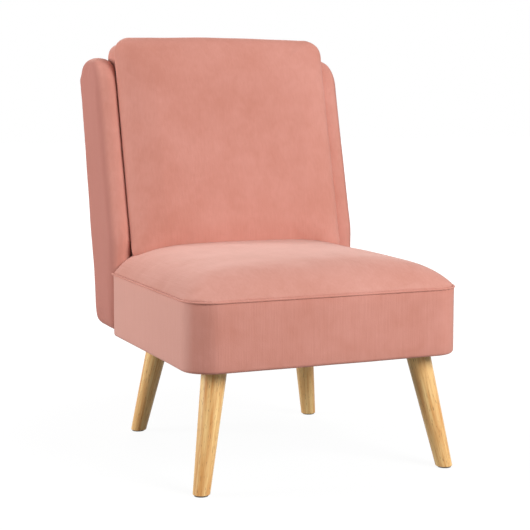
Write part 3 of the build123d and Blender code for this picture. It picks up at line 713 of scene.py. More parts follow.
@dataclass
class SeatCushion:
    """Crowned top of the seat above its seam: steep at its edges and nearly flat in the middle."""

    corner: float = 62 * MM
    tuck: float = 4 * MM
    tuck_inset: float = 4 * MM
    allowance: float = 0.5 * MM
    side_rise: float = 50 * MM
    front_rise: float = 42 * MM
    corner_blend: float = 26 * MM
    levels: tuple[float, ...] = (0.1, 0.2, 0.3, 0.4, 0.5, 0.6, 0.7, 0.78, 0.85, 0.9, 0.94)
    corner_segments: int = 12
    polish_from: float = 6 * MM
    polish_run: float = 20 * MM
    polish_rounds: int = 25
    back_gap: float = 7 * MM
    clearance: float = 0.4 * MM
    press: float = 0.03
    front_press: float = 6 * MM
    side_press: float = 3 * MM
    wall_edge: float = 12 * MM
    wall_cuts: int = 10
    lip: float = 0.5 * MM
    ledge: float = 3 * MM
    settle_from: float = 1 * MM
    settle_run: float = 8 * MM
    margin: float = 0.05 * MM
    stuffing: Stuffing = Stuffing(reach=3 * MM)
    # Painted light: the top of the seat gets a slightly paler copy of the cloth's two tones, standing
    # in for its brighter, sheen-lit top.
    velvet: Velvet = Velvet("seat_top_velvet", NapAxis.FORWARD, "#c98c7d", "#d49a8d", sheen=0.6)

    def build(self, back: BackLean, back_cushion: bpy.types.Object) -> bpy.types.Object:
        """Models, fills and dresses the seat cushion.

        Args:
            back: Frame of the back cushion, which the seat makes room for.
            back_cushion: Finished back cushion, which presses into the seat.

        Returns:
            The finished cushion.
        """
        low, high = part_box("seat_top_cover")
        inset = self.tuck_inset
        base_low = Vector((low.x + inset, low.y + inset, low.z - self.tuck))
        piece = add_block("seat_cushion", base_low, Vector((high.x - inset, high.y - inset, low.z)))
        with Bench(piece) as bench:
            front = front_corners(base_low.y + MM)
            bench.round_edges(front, self.corner - inset, self.corner_segments)
            self.raise_crown(bench, low, high)
        self.stuffing.skin(piece)
        self.settle(piece, low, high)
        ledge = low.z + self.ledge
        self.stuffing.fill(piece, lambda p: 1.0 if p.z < ledge else 0.0)
        self.polish(piece, low.z)
        self.clear_back(piece, back)
        Rumple().work(piece)
        press_against(piece, back_cushion, self.clearance)
        dress(piece, self.velvet.material())
        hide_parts("seat_top_cover", "seat_foam", "seat_felt_pad")
        return piece

    def raise_crown(self, bench: Bench, low: Vector, high: Vector) -> None:
        """Builds the crown up in steps that draw in at the front and the sides.

        Args:
            bench: Open bench with the base of the cushion.
            low: Lowest corner of the CAD crown.
            high: Highest corner of the CAD crown.
        """
        bench.pick_faces(lambda c, n: n.z > FACING)
        rise = high.z - low.z - self.allowance
        half = high.x
        depth = high.y - low.y
        height = low.z + self.lip
        spread = Vector((half / (half - self.tuck_inset), depth / (depth - 2 * self.tuck_inset), 1))
        bench.step(Vector((0, 0, self.lip)), spread, Vector((0, (low.y + high.y) / 2, 0)))
        for level in self.levels:
            inward = -math.log(1 - level)
            new_half = high.x - self.side_rise * inward
            new_depth = high.y - low.y - self.front_rise * inward
            new_height = low.z + rise * level + self.lip
            scale = Vector((new_half / half, new_depth / depth, 1))
            bench.step(Vector((0, 0, new_height - height)), scale, Vector((0, high.y, 0)))
            half = new_half
            depth = new_depth
            height = new_height

    def settle(self, piece: bpy.types.Object, low: Vector, high: Vector) -> None:
        """Eases the steps and the hips of the crown into one smooth swell.

        Args:
            piece: Cushion with an even skin.
            low: Lowest corner of the CAD crown.
            high: Highest corner of the CAD crown.
        """
        rise = high.z - low.z - self.allowance
        for vertex in piece.data.vertices:
            place = vertex.co
            share = unit_share((place.z - low.z - self.settle_from) / self.settle_run)
            ahead = (place.y - low.y) * self.side_rise / self.front_rise
            edges = (place.x - low.x, high.x - place.x, ahead)
            nearness = sum(math.exp(-max(0.0, edge) / self.corner_blend) for edge in edges)
            inward = max(0.0, -self.corner_blend * math.log(nearness))
            swell = low.z + rise * (1 - math.exp(-inward / self.side_rise))
            place.z += share * (swell - place.z)

    def polish(self, piece: bpy.types.Object, seam_z: float) -> None:
        """Smooths the top of the crown and leaves its edge at the seam as it is.

        Args:
            piece: Filled cushion.
            seam_z: Height of the seam.
        """
        group = piece.vertex_groups.new(name="top")
        for vertex in piece.data.vertices:
            share = (vertex.co.z - seam_z - self.polish_from) / self.polish_run
            group.add([vertex.index], unit_share(share), "REPLACE")
        apply_modifier(piece, "SMOOTH", {
            "factor": SMOOTH_FACTOR, "iterations": self.polish_rounds, "vertex_group": group.name,
        })
        piece.vertex_groups.clear()

    def clear_back(self, piece: bpy.types.Object, back: BackLean) -> None:
        """Presses the rear of the seat down between the wings, where the back cushion stands.

        Args:
            piece: Cushion to press.
            back: Frame of the back cushion.
        """
        wing_low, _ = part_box("wing_right_cover")
        half = wing_low.x - self.side_press
        placed = back.matrix()
        front = -back.thickness + self.front_press
        front_point = placed @ Vector((0, front, 0))
        rearward = placed.to_3x3() @ Vector((0, 1, 0))
        with Bench(piece) as bench:
            bench.score(front_point, rearward)
            for side in Side:
                bench.score(Vector((side.value * half, 0, 0)), Vector((1, 0, 0)))
        for vertex in piece.data.vertices:
            place = vertex.co
            behind = (place - front_point).dot(rearward) > self.margin
            if not behind or abs(place.x) > half - self.margin:
                continue
            floor_z = back.rear_z + (back.rear_y - place.y) * math.tan(back.lean) - self.back_gap
            if place.z > floor_z:
                place.z = floor_z + (place.z - floor_z) * self.press
        with Bench(piece) as bench:
            bench.divide_long(self.wall_edge, self.wall_cuts)


@dataclass
class SeatWelt:
    """Thin self-welt sewn into the seam between the top of the seat and its band."""

    radius: float = 2.2 * MM
    corner: float = 62 * MM
    corner_segments: int = 14
    round_steps: int = 3
    velvet: Velvet = Velvet("welt_velvet", NapAxis.FORWARD)

    def build(self) -> bpy.types.Object:
        """Draws the line of the seam and sweeps the welt along it.

        Returns:
            The finished welt.
        """
        low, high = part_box("seat_side_band")
        centre = ((low.x + high.x) / 2, (low.y + high.y) / 2, high.z)
        clear_selection()
        bpy.ops.mesh.primitive_plane_add(size=1.0, location=centre)
        piece = bpy.context.object
        piece.name = "seat_welt"
        piece.scale = (high.x - low.x, high.y - low.y, 1)
        bpy.ops.object.transform_apply(location=True, rotation=False, scale=True)
        with Bench(piece) as bench:
            front = low.y + MM
            bench.pick_edges(lambda a, b: a.y < front and b.y < front)
            bpy.ops.mesh.bevel(offset=self.corner, segments=self.corner_segments, affect="VERTICES")
            bench.pick_faces(lambda c, n: True)
            bpy.ops.mesh.delete(type="ONLY_FACE")
            rear = high.y - MM
            bench.pick_edges(lambda a, b: a.y > rear and b.y > rear)
            bpy.ops.mesh.delete(type="EDGE")
        make_active(piece)
        bpy.ops.object.convert(target="CURVE")
        piece.data.bevel_depth = self.radius
        piece.data.bevel_resolution = self.round_steps
        piece.data.use_fill_caps = True
        bpy.ops.object.convert(target="MESH")
        piece.data.name = "seat_welt"
        dress(piece, self.velvet.material())
        return piece


@dataclass
class SeatBand:
    """Upright boxing round the seat, folded under at its foot and in at its seam."""

    corner: float = 62 * MM
    corner_segments: int = 14
    rear_corner: float = 10 * MM
    rear_segments: int = 4
    foot_round: float = 7 * MM
    foot_segments: int = 5
    drop: float = 1 * MM
    seam_round: float = 1 * MM
    seam_segments: int = 3
    flat: float = 0.95
    fold: float = 14 * MM
    seam_fold: float = 2 * MM
    cloth: float = 2 * MM
    opening_half: float = 222 * MM
    cuts: int = 5
    rumple: Rumple = Rumple(depth=0.7 * MM)
    # Painted light: the band's faces turned to the sides are mixed toward a paler side colour, standing
    # in for sheen.
    velvet: Velvet = Velvet(
        "seat_band_velvet", NapAxis.UPRIGHT, sheen=0.6, side="#d8a295", side_share=0.75,
    )

    def build(self) -> bpy.types.Object:
        """Models and dresses the band.

        Returns:
            The finished band.
        """
        low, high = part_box("seat_side_band")
        low.z -= self.drop
        piece = add_block("seat_band", low, high)
        with Bench(piece) as bench:
            bench.round_edges(front_corners(low.y + MM), self.corner, self.corner_segments)
            rear = high.y - MM
            bench.round_edges(
                lambda a, b: a.y > rear and b.y > rear and abs(a.x - b.x) < MM,
                self.rear_corner, self.rear_segments,
            )
            foot = low.z + MM
            seam = high.z - MM
            bench.round_edges(
                lambda a, b: a.z < foot and b.z < foot, self.foot_round, self.foot_segments,
            )
            bench.round_edges(
                lambda a, b: a.z > seam and b.z > seam, self.seam_round, self.seam_segments,
            )
            self.fold_in(bench, -1, self.fold - self.foot_round)
            self.fold_in(bench, 1, self.seam_fold - self.seam_round)
            self.open_rear(bench, high)
        apply_modifier(piece, "SOLIDIFY", {"thickness": self.cloth, "offset": -1.0})
        with Bench(piece) as bench:
            bench.divide_long(LONG_EDGE, self.cuts)
        self.rumple.work(piece)
        dress(piece, self.velvet.material())
        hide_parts("seat_side_band", "seat_side_wadding")
        return piece

    def fold_in(self, bench: Bench, way: int, width: float) -> None:
        """Opens the foot or the seam of the band inside a narrow fold.

        Args:
            bench: Open bench with the rounded block.
            way: Minus one for the foot, one for the seam.
            width: Width of the flat part of the fold, in metres.
        """
        bench.pick_faces(lambda c, n: n.z * way > self.flat)
        bpy.ops.mesh.inset(thickness=width, use_even_offset=True)
        bpy.ops.mesh.delete(type="FACE")

    def open_rear(self, bench: Bench, high: Vector) -> None:
        """Opens the rear between the shoulders, where the back stands in the seat.

        Args:
            bench: Open bench with the band.
            high: Highest corner of the band.
        """
        limit = self.opening_half
        for side in Side:
            bench.score(Vector((side.value * limit, 0, 0)), Vector((1, 0, 0)))
        rear = high.y - self.fold - MM
        if bench.pick_faces(lambda c, n: abs(c.x) < limit and c.y > rear):
            bpy.ops.mesh.delete(type="FACE")


@dataclass
class BackCushion:
    """Plump back cushion held between the wings and standing up above them."""

    front_round: float = 30 * MM
    side_round: float = 10 * MM
    top_round: float = 36 * MM
    bottom_round: float = 16 * MM
    rear_round: float = 24 * MM
    rear_side: float = 8 * MM
    rear_top: float = 20 * MM
    crown: float = 6 * MM
    crown_run: float = 60 * MM
    top_corner: float = 28 * MM
    front_top_corner: float = 34 * MM
    top_arch: float = 5 * MM
    arch_run: float = 90 * MM
    bottom_corner: float = 16 * MM
    spread: float = 13.5 * MM
    spread_from: float = 64 * MM
    spread_rise: tuple[float, float] = (0 * MM, 24 * MM)
    spread_skew: float = 1.5
    spread_edge: int = 8
    top_segments: int = 8
    bottom_segments: int = 6
    ease_rounds: int = 6
    clearance: float = 0.4 * MM
    webbing_gap: float = 1.2 * MM
    turns: tuple[float, ...] = (18, 36, 54, 72, 90)
    stuffing: Stuffing = Stuffing(reach=4 * MM)
    velvet: Velvet = Velvet("back_velvet", NapAxis.UPRIGHT)

    def build(self, back: BackLean, wings: Sequence[bpy.types.Object]) -> bpy.types.Object:
        """Models, fills and dresses the back cushion.

        Args:
            back: Frame of the leaning cushion.
            wings: Both wings, which the cushion leans against.

        Returns:
            The finished cushion.
        """
        _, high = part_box("back_cushion_cover")
        half = high.x
        core_front = -back.thickness + self.front_round
        start = Vector((-half, core_front, 0))
        piece = add_block("back_cushion", start, Vector((half, -self.rear_round, back.length)))
        with Bench(piece) as bench:
            self.round_corners(bench, back.length)
            self.round_rim(bench, half, back.length, -1)
            self.round_rim(bench, half, back.length, 1)
        self.stuffing.skin(piece)
        self.ease_corners(piece, half, back)
        self.spread_sides(piece, half, back)
        apply_modifier(piece, "SMOOTH", {"factor": SMOOTH_FACTOR, "iterations": self.ease_rounds})
        self.stuffing.fill(piece, lambda p: 1.0 if p.y > -self.rear_round else 0.0)
        Rumple().work(piece)
        self.rest_on_webbing(piece)
        piece.data.transform(back.matrix())
        for wing in wings:
            press_against(piece, wing, self.clearance)
        dress(piece, self.velvet.material())
        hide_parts("back_cushion_cover", "back_cushion_foam")
        return piece

    def round_corners(self, bench: Bench, length: float) -> None:
        """Rounds the two top and two bottom corners seen from in front.

        Args:
            bench: Open bench with the core of the cushion.
            length: Length of the cushion up its lean.
        """
        top = length - MM
        bench.round_edges(
            lambda a, b: a.z > top and b.z > top and abs(a.x - b.x) < MM,
            self.top_corner, self.top_segments,
        )
        bench.round_edges(
            lambda a, b: a.z < MM and b.z < MM and abs(a.x - b.x) < MM,
            self.bottom_corner, self.bottom_segments,
        )

    def ease_corners(self, piece: bpy.types.Object, half: float, back: BackLean) -> None:
        """Opens the two top corners up from the rear to the front and arches the top edge.

        Args:
            piece: Cushion in its own frame, with an even skin.
            half: Half the cushion's width.
            back: Frame of the cushion, for its thickness and length.
        """
        core = back.thickness - self.front_round - self.rear_round
        for vertex in piece.data.vertices:
            place = vertex.co
            share = unit_share((-place.y - self.rear_round) / core)
            turn = unit_share((-place.y - self.rear_round - core) / self.front_round)
            swing = 1 - math.sqrt(1 - turn * turn)
            radius = self.top_corner + (self.front_top_corner - self.top_corner) * share
            centre_x = half - self.side_round * swing - radius
            centre_z = back.length - self.top_round * swing - radius
            reach = Vector((abs(place.x) - centre_x, place.z - centre_z))
            if reach.x > 0 and reach.y > 0 and reach.length > radius:
                reach *= radius / reach.length
                place.x = math.copysign(centre_x + reach.x, place.x)
                place.z = centre_z + reach.y
            lift = unit_share(1 - (back.length - place.z) / self.arch_run)
            place.z += self.top_arch * lift * (1 - (place.x / half) ** 2)

    def spread_sides(self, piece: bpy.types.Object, half: float, back: BackLean) -> None:
        """Lets the front of both sides swell out over the round edges of the wings.

        Args:
            piece: Cushion in its own frame, with an even skin.
            half: Half the cushion's width.
            back: Frame of the cushion, for its thickness.
        """
        run = back.thickness + self.crown - self.spread_from
        start, full = self.spread_rise
        for vertex in piece.data.vertices:
            place = vertex.co
            ahead = unit_share((-place.y - self.spread_from) / run)
            lift = unit_share((place.z - start) / (full - start))
            swell = self.spread * math.sin(math.pi * ahead ** self.spread_skew) * lift
            outward = min(1.0, abs(place.x) / half) ** self.spread_edge
            place.x += math.copysign(swell * outward, place.x)

    def rest_on_webbing(self, piece: bpy.types.Object) -> None:
        """Flattens the rear of the cushion, where it rests on the webbing.

        Args:
            piece: Filled cushion in its own frame.
        """
        for vertex in piece.data.vertices:
            vertex.co.y = min(vertex.co.y, -self.webbing_gap)

    def round_rim(self, bench: Bench, half: float, length: float, way: int) -> None:
        """Rounds the front or the rear rim in steps round a quarter turn, then crowns the front.

        Args:
            bench: Open bench with the core of the cushion.
            half: Half the cushion's width.
            length: Length of the cushion up its lean.
            way: Minus one for the front, one for the rear.
        """
        is_front = way < 0
        depth = self.front_round if is_front else self.rear_round
        side = self.side_round if is_front else self.rear_side
        top = self.top_round if is_front else self.rear_top
        bottom = self.bottom_round if is_front else self.rear_side
        angles = [math.radians(turn) for turn in self.turns]
        rings = [(depth * math.sin(angle), 1 - math.cos(angle)) for angle in angles]
        steps = [(out, side * swing, top * swing, bottom * swing) for out, swing in rings]
        if is_front:
            run = self.crown_run
            steps.append((depth + self.crown, side + run, top + run, bottom + run))
        bench.pick_faces(lambda c, n: n.y * way > FACING)
        last = (0.0, 0.0, 0.0, 0.0)
        for ring in steps:
            move = Vector((0, way * (ring[0] - last[0]), 0))
            old_tall = length - last[2] - last[3]
            new_tall = length - ring[2] - ring[3]
            scale = Vector(((half - ring[1]) / (half - last[1]), 1, new_tall / old_tall))
            share = (ring[3] - last[3]) / max(old_tall - new_tall, NEARLY_NOTHING)
            bench.step(move, scale, Vector((0, 0, last[3] + share * old_tall)))
            last = ring


@dataclass
class Wing:
    """Padded side wing: upright beside the seat, then leaning back to a round top corner."""

    knee_z: float = 455 * MM
    knee_radius: float = 120 * MM
    knee_segments: int = 6
    front_top_radius: float = 70 * MM
    front_top_segments: int = 12
    rear_top_radius: float = 36 * MM
    rear_top_segments: int = 8
    bottom_radius: float = 22 * MM
    bottom_segments: int = 6
    inner_rim: float = 19 * MM
    outer_rim: float = 21 * MM
    rim_segments: int = 7
    rim_margin: float = 0.1 * MM
    hold_depth: float = 8 * MM
    front_lean: float = math.radians(14.7)
    rear_lean: float = math.radians(10)
    foot_depth: float = 141 * MM
    top_lift: float = 2 * MM
    stuffing: Stuffing = Stuffing(reach=1.5 * MM)
    # Painted shade: the wing's faces turned to the sides, the outer face among them, are mixed toward a
    # darker side colour.
    velvet: Velvet = Velvet(
        "wing_velvet", NapAxis.UPRIGHT, sheen=0.15, side="#b2756a", side_share=0.8, painted_side_from=0.3,
    )

    def build(self) -> list[bpy.types.Object]:
        """Models the right wing, fills it and copies it for the left side.

        Returns:
            The right and the left wing.
        """
        low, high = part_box("wing_right_cover")
        high.z += self.top_lift
        piece = add_block("wing_right", low, high)
        with Bench(piece) as bench:
            knee = Vector((0, low.y, self.knee_z))
            heel = Vector((0, low.y + self.foot_depth, low.z))
            bench.slice(knee, Vector((0, -math.cos(self.front_lean), math.sin(self.front_lean))))
            bench.slice(heel, Vector((0, math.cos(self.rear_lean), -math.sin(self.rear_lean))))
            self.round_outline(bench, low, high)
            self.round_rims(bench, low, high)
        self.stuffing.skin(piece)
        held = low.x + self.hold_depth
        self.stuffing.fill(piece, lambda p: 1.0 if p.x < held else 0.0)
        Rumple().work(piece)
        for vertex in piece.data.vertices:
            vertex.co.x = max(vertex.co.x, low.x)
        copy = copy_piece(piece, "wing_left")
        copy.data.transform(Matrix.Scale(-1, 4, (1, 0, 0)))
        copy.data.flip_normals()
        material = self.velvet.material()
        for wing, name in ((piece, "wing_right"), (copy, "wing_left")):
            dress(wing, material)
            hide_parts(f"{name}_cover", f"{name}_foam")
        return [piece, copy]

    def round_outline(self, bench: Bench, low: Vector, high: Vector) -> None:
        """Rounds the five corners of the outline seen from the side.

        Args:
            bench: Open bench with the cut block.
            low: Lowest corner of the wing.
            high: Highest corner of the wing.
        """
        top = high.z - MM
        middle = (low.y + high.y) / 2
        front_top_y = low.y + (high.z - self.knee_z) * math.tan(self.front_lean)
        split = (front_top_y + high.y) / 2
        right_angle = math.pi / 2
        corners = (
            (
                self.rear_top_radius, right_angle + self.rear_lean, self.rear_top_segments,
                lambda p: p.z > top and p.y > split,
            ),
            (
                self.front_top_radius, right_angle - self.front_lean, self.front_top_segments,
                lambda p: p.z > top and p.y < front_top_y + MM,
            ),
            (
                self.knee_radius, self.front_lean, self.knee_segments,
                lambda p: abs(p.z - self.knee_z) < MM and p.y < middle,
            ),
            (
                self.bottom_radius, right_angle, self.bottom_segments,
                lambda p: p.z < low.z + MM,
            ),
        )
        for radius, turn, segments, is_there in corners:
            bench.round_edges(
                lambda a, b: abs(a.y - b.y) < MM and abs(a.z - b.z) < MM and is_there(a),
                radius * math.tan(turn / 2), segments,
            )

    def round_rims(self, bench: Bench, low: Vector, high: Vector) -> None:
        """Rounds both rims of the wing almost to a half round.

        Args:
            bench: Open bench with the rounded outline.
            low: Lowest corner of the wing.
            high: Highest corner of the wing.
        """
        inner = low.x + self.rim_margin
        outer = high.x - self.rim_margin
        segments = self.rim_segments
        bench.round_edges(lambda a, b: a.x > outer and b.x > outer, self.outer_rim, segments)
        bench.round_edges(lambda a, b: a.x < inner and b.x < inner, self.inner_rim, segments)


@dataclass
class RearPanel:
    """Velvet stretched over the rear of the back, turned in at its foot and its top."""

    cloth: float = 3 * MM
    lean: float = math.radians(10)
    foot_corner: float = 21 * MM
    foot_turn: float = math.radians(46)
    top_corner: float = 33 * MM
    top_return: float = 8 * MM
    turn_steps: int = 8
    cuts: int = 7
    rumple: Rumple = Rumple(depth=0.6 * MM)
    velvet: Velvet = Velvet("rear_velvet", NapAxis.UPRIGHT)

    def build(self) -> bpy.types.Object:
        """Models and dresses the rear panel.

        Returns:
            The finished panel.
        """
        low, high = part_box("back_rear_cover")
        skin = self.cloth / 2
        way_up = Vector((0, math.sin(self.lean), math.cos(self.lean)))
        way_out = Vector((0, math.cos(self.lean), -math.sin(self.lean)))
        top_centre = Vector((0, high.y - self.top_corner, high.z - self.top_corner))
        top_end = top_centre + way_out * (self.top_corner - skin)
        inner_line = top_centre + way_out * (self.top_corner - self.foot_corner)
        fall = (inner_line.z - low.z - self.foot_corner) / way_up.z
        foot_centre = inner_line - way_up * fall
        foot_end = foot_centre + way_out * (self.foot_corner - skin)
        clear_selection()
        bpy.ops.mesh.primitive_plane_add(
            size=1.0, location=(top_end + foot_end) / 2, rotation=(math.pi / 2 - self.lean, 0, 0),
        )
        piece = bpy.context.object
        piece.name = "back_panel"
        piece.data.name = "back_panel"
        piece.scale = (high.x - low.x, (top_end - foot_end).length, 1)
        bpy.ops.object.transform_apply(location=True, rotation=True, scale=True)
        with Bench(piece) as bench:
            bench.pick_edges(lambda a, b: max(a.z, b.z) < foot_end.z + MM)
            bpy.ops.mesh.spin(
                steps=self.turn_steps, angle=self.foot_turn, center=foot_centre, axis=(1, 0, 0),
            )
            bench.pick_edges(lambda a, b: min(a.z, b.z) > top_end.z - MM)
            top_turn = math.pi / 2 + self.lean
            bpy.ops.mesh.spin(
                steps=self.turn_steps, angle=top_turn, center=top_centre, axis=(-1, 0, 0),
            )
            inward = (0, -self.top_return, 0)
            bpy.ops.mesh.extrude_region_move(TRANSFORM_OT_translate={"value": inward})
            bench.divide_long(LONG_EDGE, self.cuts)
        apply_modifier(piece, "SOLIDIFY", {"thickness": self.cloth, "offset": 0.0})
        with Bench(piece):
            bpy.ops.mesh.select_all(action="SELECT")
            bpy.ops.mesh.normals_make_consistent(inside=False)
        self.rumple.work(piece)
        dress(piece, self.velvet.material())
        bpy.ops.object.shade_smooth_by_angle(angle=CREASE)
        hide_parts("back_rear_cover")
        return piece


@dataclass
class FootWrap:
    """Narrow velvet strip stretched round the board that carries the rear legs."""

    cloth: float = 0.5 * MM
    clearance: float = 0.1 * MM
    front_gap: float = 26 * MM
    hang: float = 0.6 * MM
    height: float = 11 * MM
    cuts: int = 9
    velvet: Velvet = Velvet("foot_wrap_velvet", NapAxis.UPRIGHT)

    def build(self) -> bpy.types.Object:
        """Models and dresses the strip.

        Returns:
            The finished strip.
        """
        low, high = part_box("seat_rear_leg_board")
        out = self.cloth + self.clearance
        start = Vector((low.x - out, low.y + self.front_gap, low.z - self.hang))
        piece = add_block("foot_wrap", start, Vector((high.x + out, high.y + out, low.z + self.height)))
        with Bench(piece) as bench:
            bench.pick_faces(lambda c, n: abs(n.z) > FACING or n.y < -FACING)
            bpy.ops.mesh.delete(type="FACE")
            bench.divide_long(LONG_EDGE, self.cuts)
        apply_modifier(piece, "SOLIDIFY", {
            "thickness": self.cloth, "offset": -1.0, "use_even_offset": True,
        })
        dress(piece, self.velvet.material())
        bpy.ops.object.shade_smooth_by_angle(angle=CREASE)
        return piece


@dataclass
class DustCloth:
    """Dark lining stretched under the seat, with round holes for the legs, and its staples."""

    thickness: float = 0.8 * MM
    lift: float = 0.1 * MM
    corner: float = 47.6 * MM
    corner_segments: int = 10
    tail_overlap: float = 12 * MM
    seat_rear_inset: float = 14.4 * MM
    leg_hole: float = 28.5 * MM
    hole_segments: int = 48
    punch_length: float = 20 * MM
    leg_places: tuple[tuple[float, float], ...] = (
        (224 * MM, -303 * MM),
        (-224 * MM, -303 * MM),
        (173.5 * MM, 158 * MM),
        (-173.5 * MM, 158 * MM),
    )
    under: float = -0.5
    sag: float = 2.5 * MM
    cut_pitch: float = 30 * MM
    staple: tuple[float, float, float] = (10 * MM, 1.2 * MM, 0.6 * MM)
    staple_round: float = 0.2 * MM
    staple_inset: float = 6 * MM
    staple_pitch: float = 33 * MM
    # Bonded fibres pressed flat: nearly black and matt, with a faint fleck.
    lining: Speckled = Speckled(
        "spunbond_lining_cloth", "#3a3937", "#2b2a29", (2.5 * MM, 2.5 * MM, 2.5 * MM), 0.95,
    )
    # Flattened steel wire: bright, with a soft gleam.
    steel: Speckled = Speckled(
        "staple_steel", "#c3c6c9", "#a2a6ab", (3 * MM, 3 * MM, 3 * MM), 0.35, 1.0,
    )

    def build(self) -> list[bpy.types.Object]:
        """Models and dresses the lining and its staples.

        Returns:
            The lining and the joined staples.
        """
        low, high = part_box("seat_dust_cover")
        _, band_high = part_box("seat_side_band")
        _, board_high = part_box("seat_rear_leg_board")
        base = low.z + self.lift
        top = base + self.thickness
        seat_rear = band_high.y - self.seat_rear_inset
        start = Vector((low.x, low.y, base))
        piece = add_block("dust_cloth", start, Vector((high.x, seat_rear, top)))
        with Bench(piece) as bench:
            bench.round_edges(front_corners(low.y + MM), self.corner, self.corner_segments)
        tail_half = board_high.x - MM
        tail_low = Vector((-tail_half, seat_rear - self.tail_overlap, base))
        self.cut(piece, "UNION", add_block("tail", tail_low, Vector((tail_half, high.y, top))))
        for x, y in self.leg_places:
            clear_selection()
            bpy.ops.mesh.primitive_cylinder_add(
                vertices=self.hole_segments, radius=self.leg_hole, depth=self.punch_length,
                location=(x, y, base),
            )
            self.cut(piece, "DIFFERENCE", bpy.context.object)
        self.let_sag(piece, low, high, seat_rear)
        piece.data.materials.append(self.lining.material())
        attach(piece, "root")
        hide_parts("seat_dust_cover")
        return [piece, self.staple_down(low, high, seat_rear, tail_half, base)]

    def cut(self, piece: bpy.types.Object, operation: str, tool: bpy.types.Object) -> None:
        """Joins a tool to the piece or cuts it out, and removes the tool.

        Args:
            piece: Flat cloth.
            operation: UNION to join the tool, DIFFERENCE to cut it out.
            tool: Block or cylinder to use.
        """
        apply_modifier(piece, "BOOLEAN", {
            "operation": operation, "object": tool, "solver": "EXACT",
        })
        bpy.data.objects.remove(tool)

    def let_sag(self, piece: bpy.types.Object, low: Vector, high: Vector, seat_rear: float) -> None:
        """Cuts the cloth into strips and lets its middle hang a little.

        Args:
            piece: Flat cloth.
            low: Lowest corner of the cloth.
            high: Highest corner of the cloth.
            seat_rear: Y of the rear edge of the wide part.
        """
        with Bench(piece) as bench:
            for axis in (0, 1):
                count = int((high[axis] - low[axis]) / self.cut_pitch)
                for index in range(1, count):
                    point = low.copy()
                    point[axis] += (high[axis] - low[axis]) * index / count
                    bench.score(point, Vector((1 - axis, axis, 0)))
        for vertex in piece.data.vertices:
            vertex.co.z -= self.hang(vertex.co, low, high, seat_rear)

    def hang(self, place: Vector, low: Vector, high: Vector, seat_rear: float) -> float:
        """Tells how far the cloth hangs down at a place.

        Args:
            place: Point of the cloth.
            low: Lowest corner of the cloth.
            high: Highest corner of the cloth.
            seat_rear: Y of the rear edge of the wide part.

        Returns:
            The drop in metres.
        """
        middle = (low.y + seat_rear) / 2
        half_depth = (seat_rear - low.y) / 2
        side_share = max(0.0, 1 - (place.x / high.x) ** 2)
        depth_share = max(0.0, 1 - ((place.y - middle) / half_depth) ** 2)
        return self.sag * side_share * depth_share

    def staple_down(
        self, low: Vector, high: Vector, seat_rear: float, tail_half: float, base: float,
    ) -> bpy.types.Object:
        """Sets a row of staples along the edges of the lining.

        Args:
            low: Lowest corner of the cloth.
            high: Highest corner of the cloth.
            seat_rear: Y of the rear edge of the wide part.
            tail_half: Half the width of the narrow rear part.
            base: Height of the underside of the cloth.

        Returns:
            All staples as one piece.
        """
        inset = self.staple_inset
        front_half = high.x - self.corner
        front = low.y + inset
        rear = high.y - inset
        rows = [
            (Vector((-front_half, front, 0)), Vector((front_half, front, 0))),
            (Vector((-tail_half, rear, 0)), Vector((tail_half, rear, 0))),
        ]
        for side in Side:
            edge = side.value * (high.x - inset)
            tail = side.value * (tail_half - inset)
            rows.append((Vector((edge, low.y + self.corner, 0)), Vector((edge, seat_rear, 0))))
            rows.append((Vector((tail, seat_rear, 0)), Vector((tail, high.y, 0))))
        length, width, height = self.staple
        size = Vector((length, width, height)) / 2
        pattern = add_block("lining_staples", -size, size)
        apply_modifier(pattern, "BEVEL", {"width": self.staple_round, "segments": 1})
        pattern.data.materials.append(self.steel.material())
        copies = []
        for start, end in rows:
            run = end - start
            count = int(run.length / self.staple_pitch)
            turn = Matrix.Rotation(math.atan2(run.y, run.x), 4, "Z")
            for index in range(count):
                spot = start + run * (index + 0.5) / count
                spot.z = base - self.hang(spot, low, high, seat_rear) - self.lift - height / 2
                copy = copy_piece(pattern, pattern.name)
                copy.data.transform(Matrix.Translation(spot) @ turn)
                copies.append(copy)
        bpy.data.objects.remove(pattern)
        make_active(copies[0])
        for copy in copies:
            copy.select_set(True)
        bpy.ops.object.join()
        piece = bpy.context.object
        piece.name = "lining_staples"
        piece.data.name = "lining_staples"
        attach(piece, "root")
        return piece


@dataclass
class Legs:
    """Splayed turned legs, which stay as modelled and get wood along their own axis."""

    height: float = 241 * MM
    front_splay: tuple[float, float] = (44.7 * MM, 41.3 * MM)
    rear_splay: tuple[float, float] = (42 * MM, 49.3 * MM)

    def dress(self) -> None:
        """Gives each leg its wood."""
        for row, splay, way in (("front", self.front_splay, 1), ("rear", self.rear_splay, -1)):
            for side in Side:
                name = f"leg_{row}_{side.name.lower()}"
                axis = (-side.value * splay[0], way * splay[1], self.height)
                paint(name, LacqueredAsh(f"{name}_ash", axis).material())


def paint(node: str, material: bpy.types.Material) -> None:
    """Gives one CAD node a material.

    Args:
        node: Name of the node.
        material: Its new material.
    """
    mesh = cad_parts[node].data
    mesh.materials.clear()
    mesh.materials.append(material)


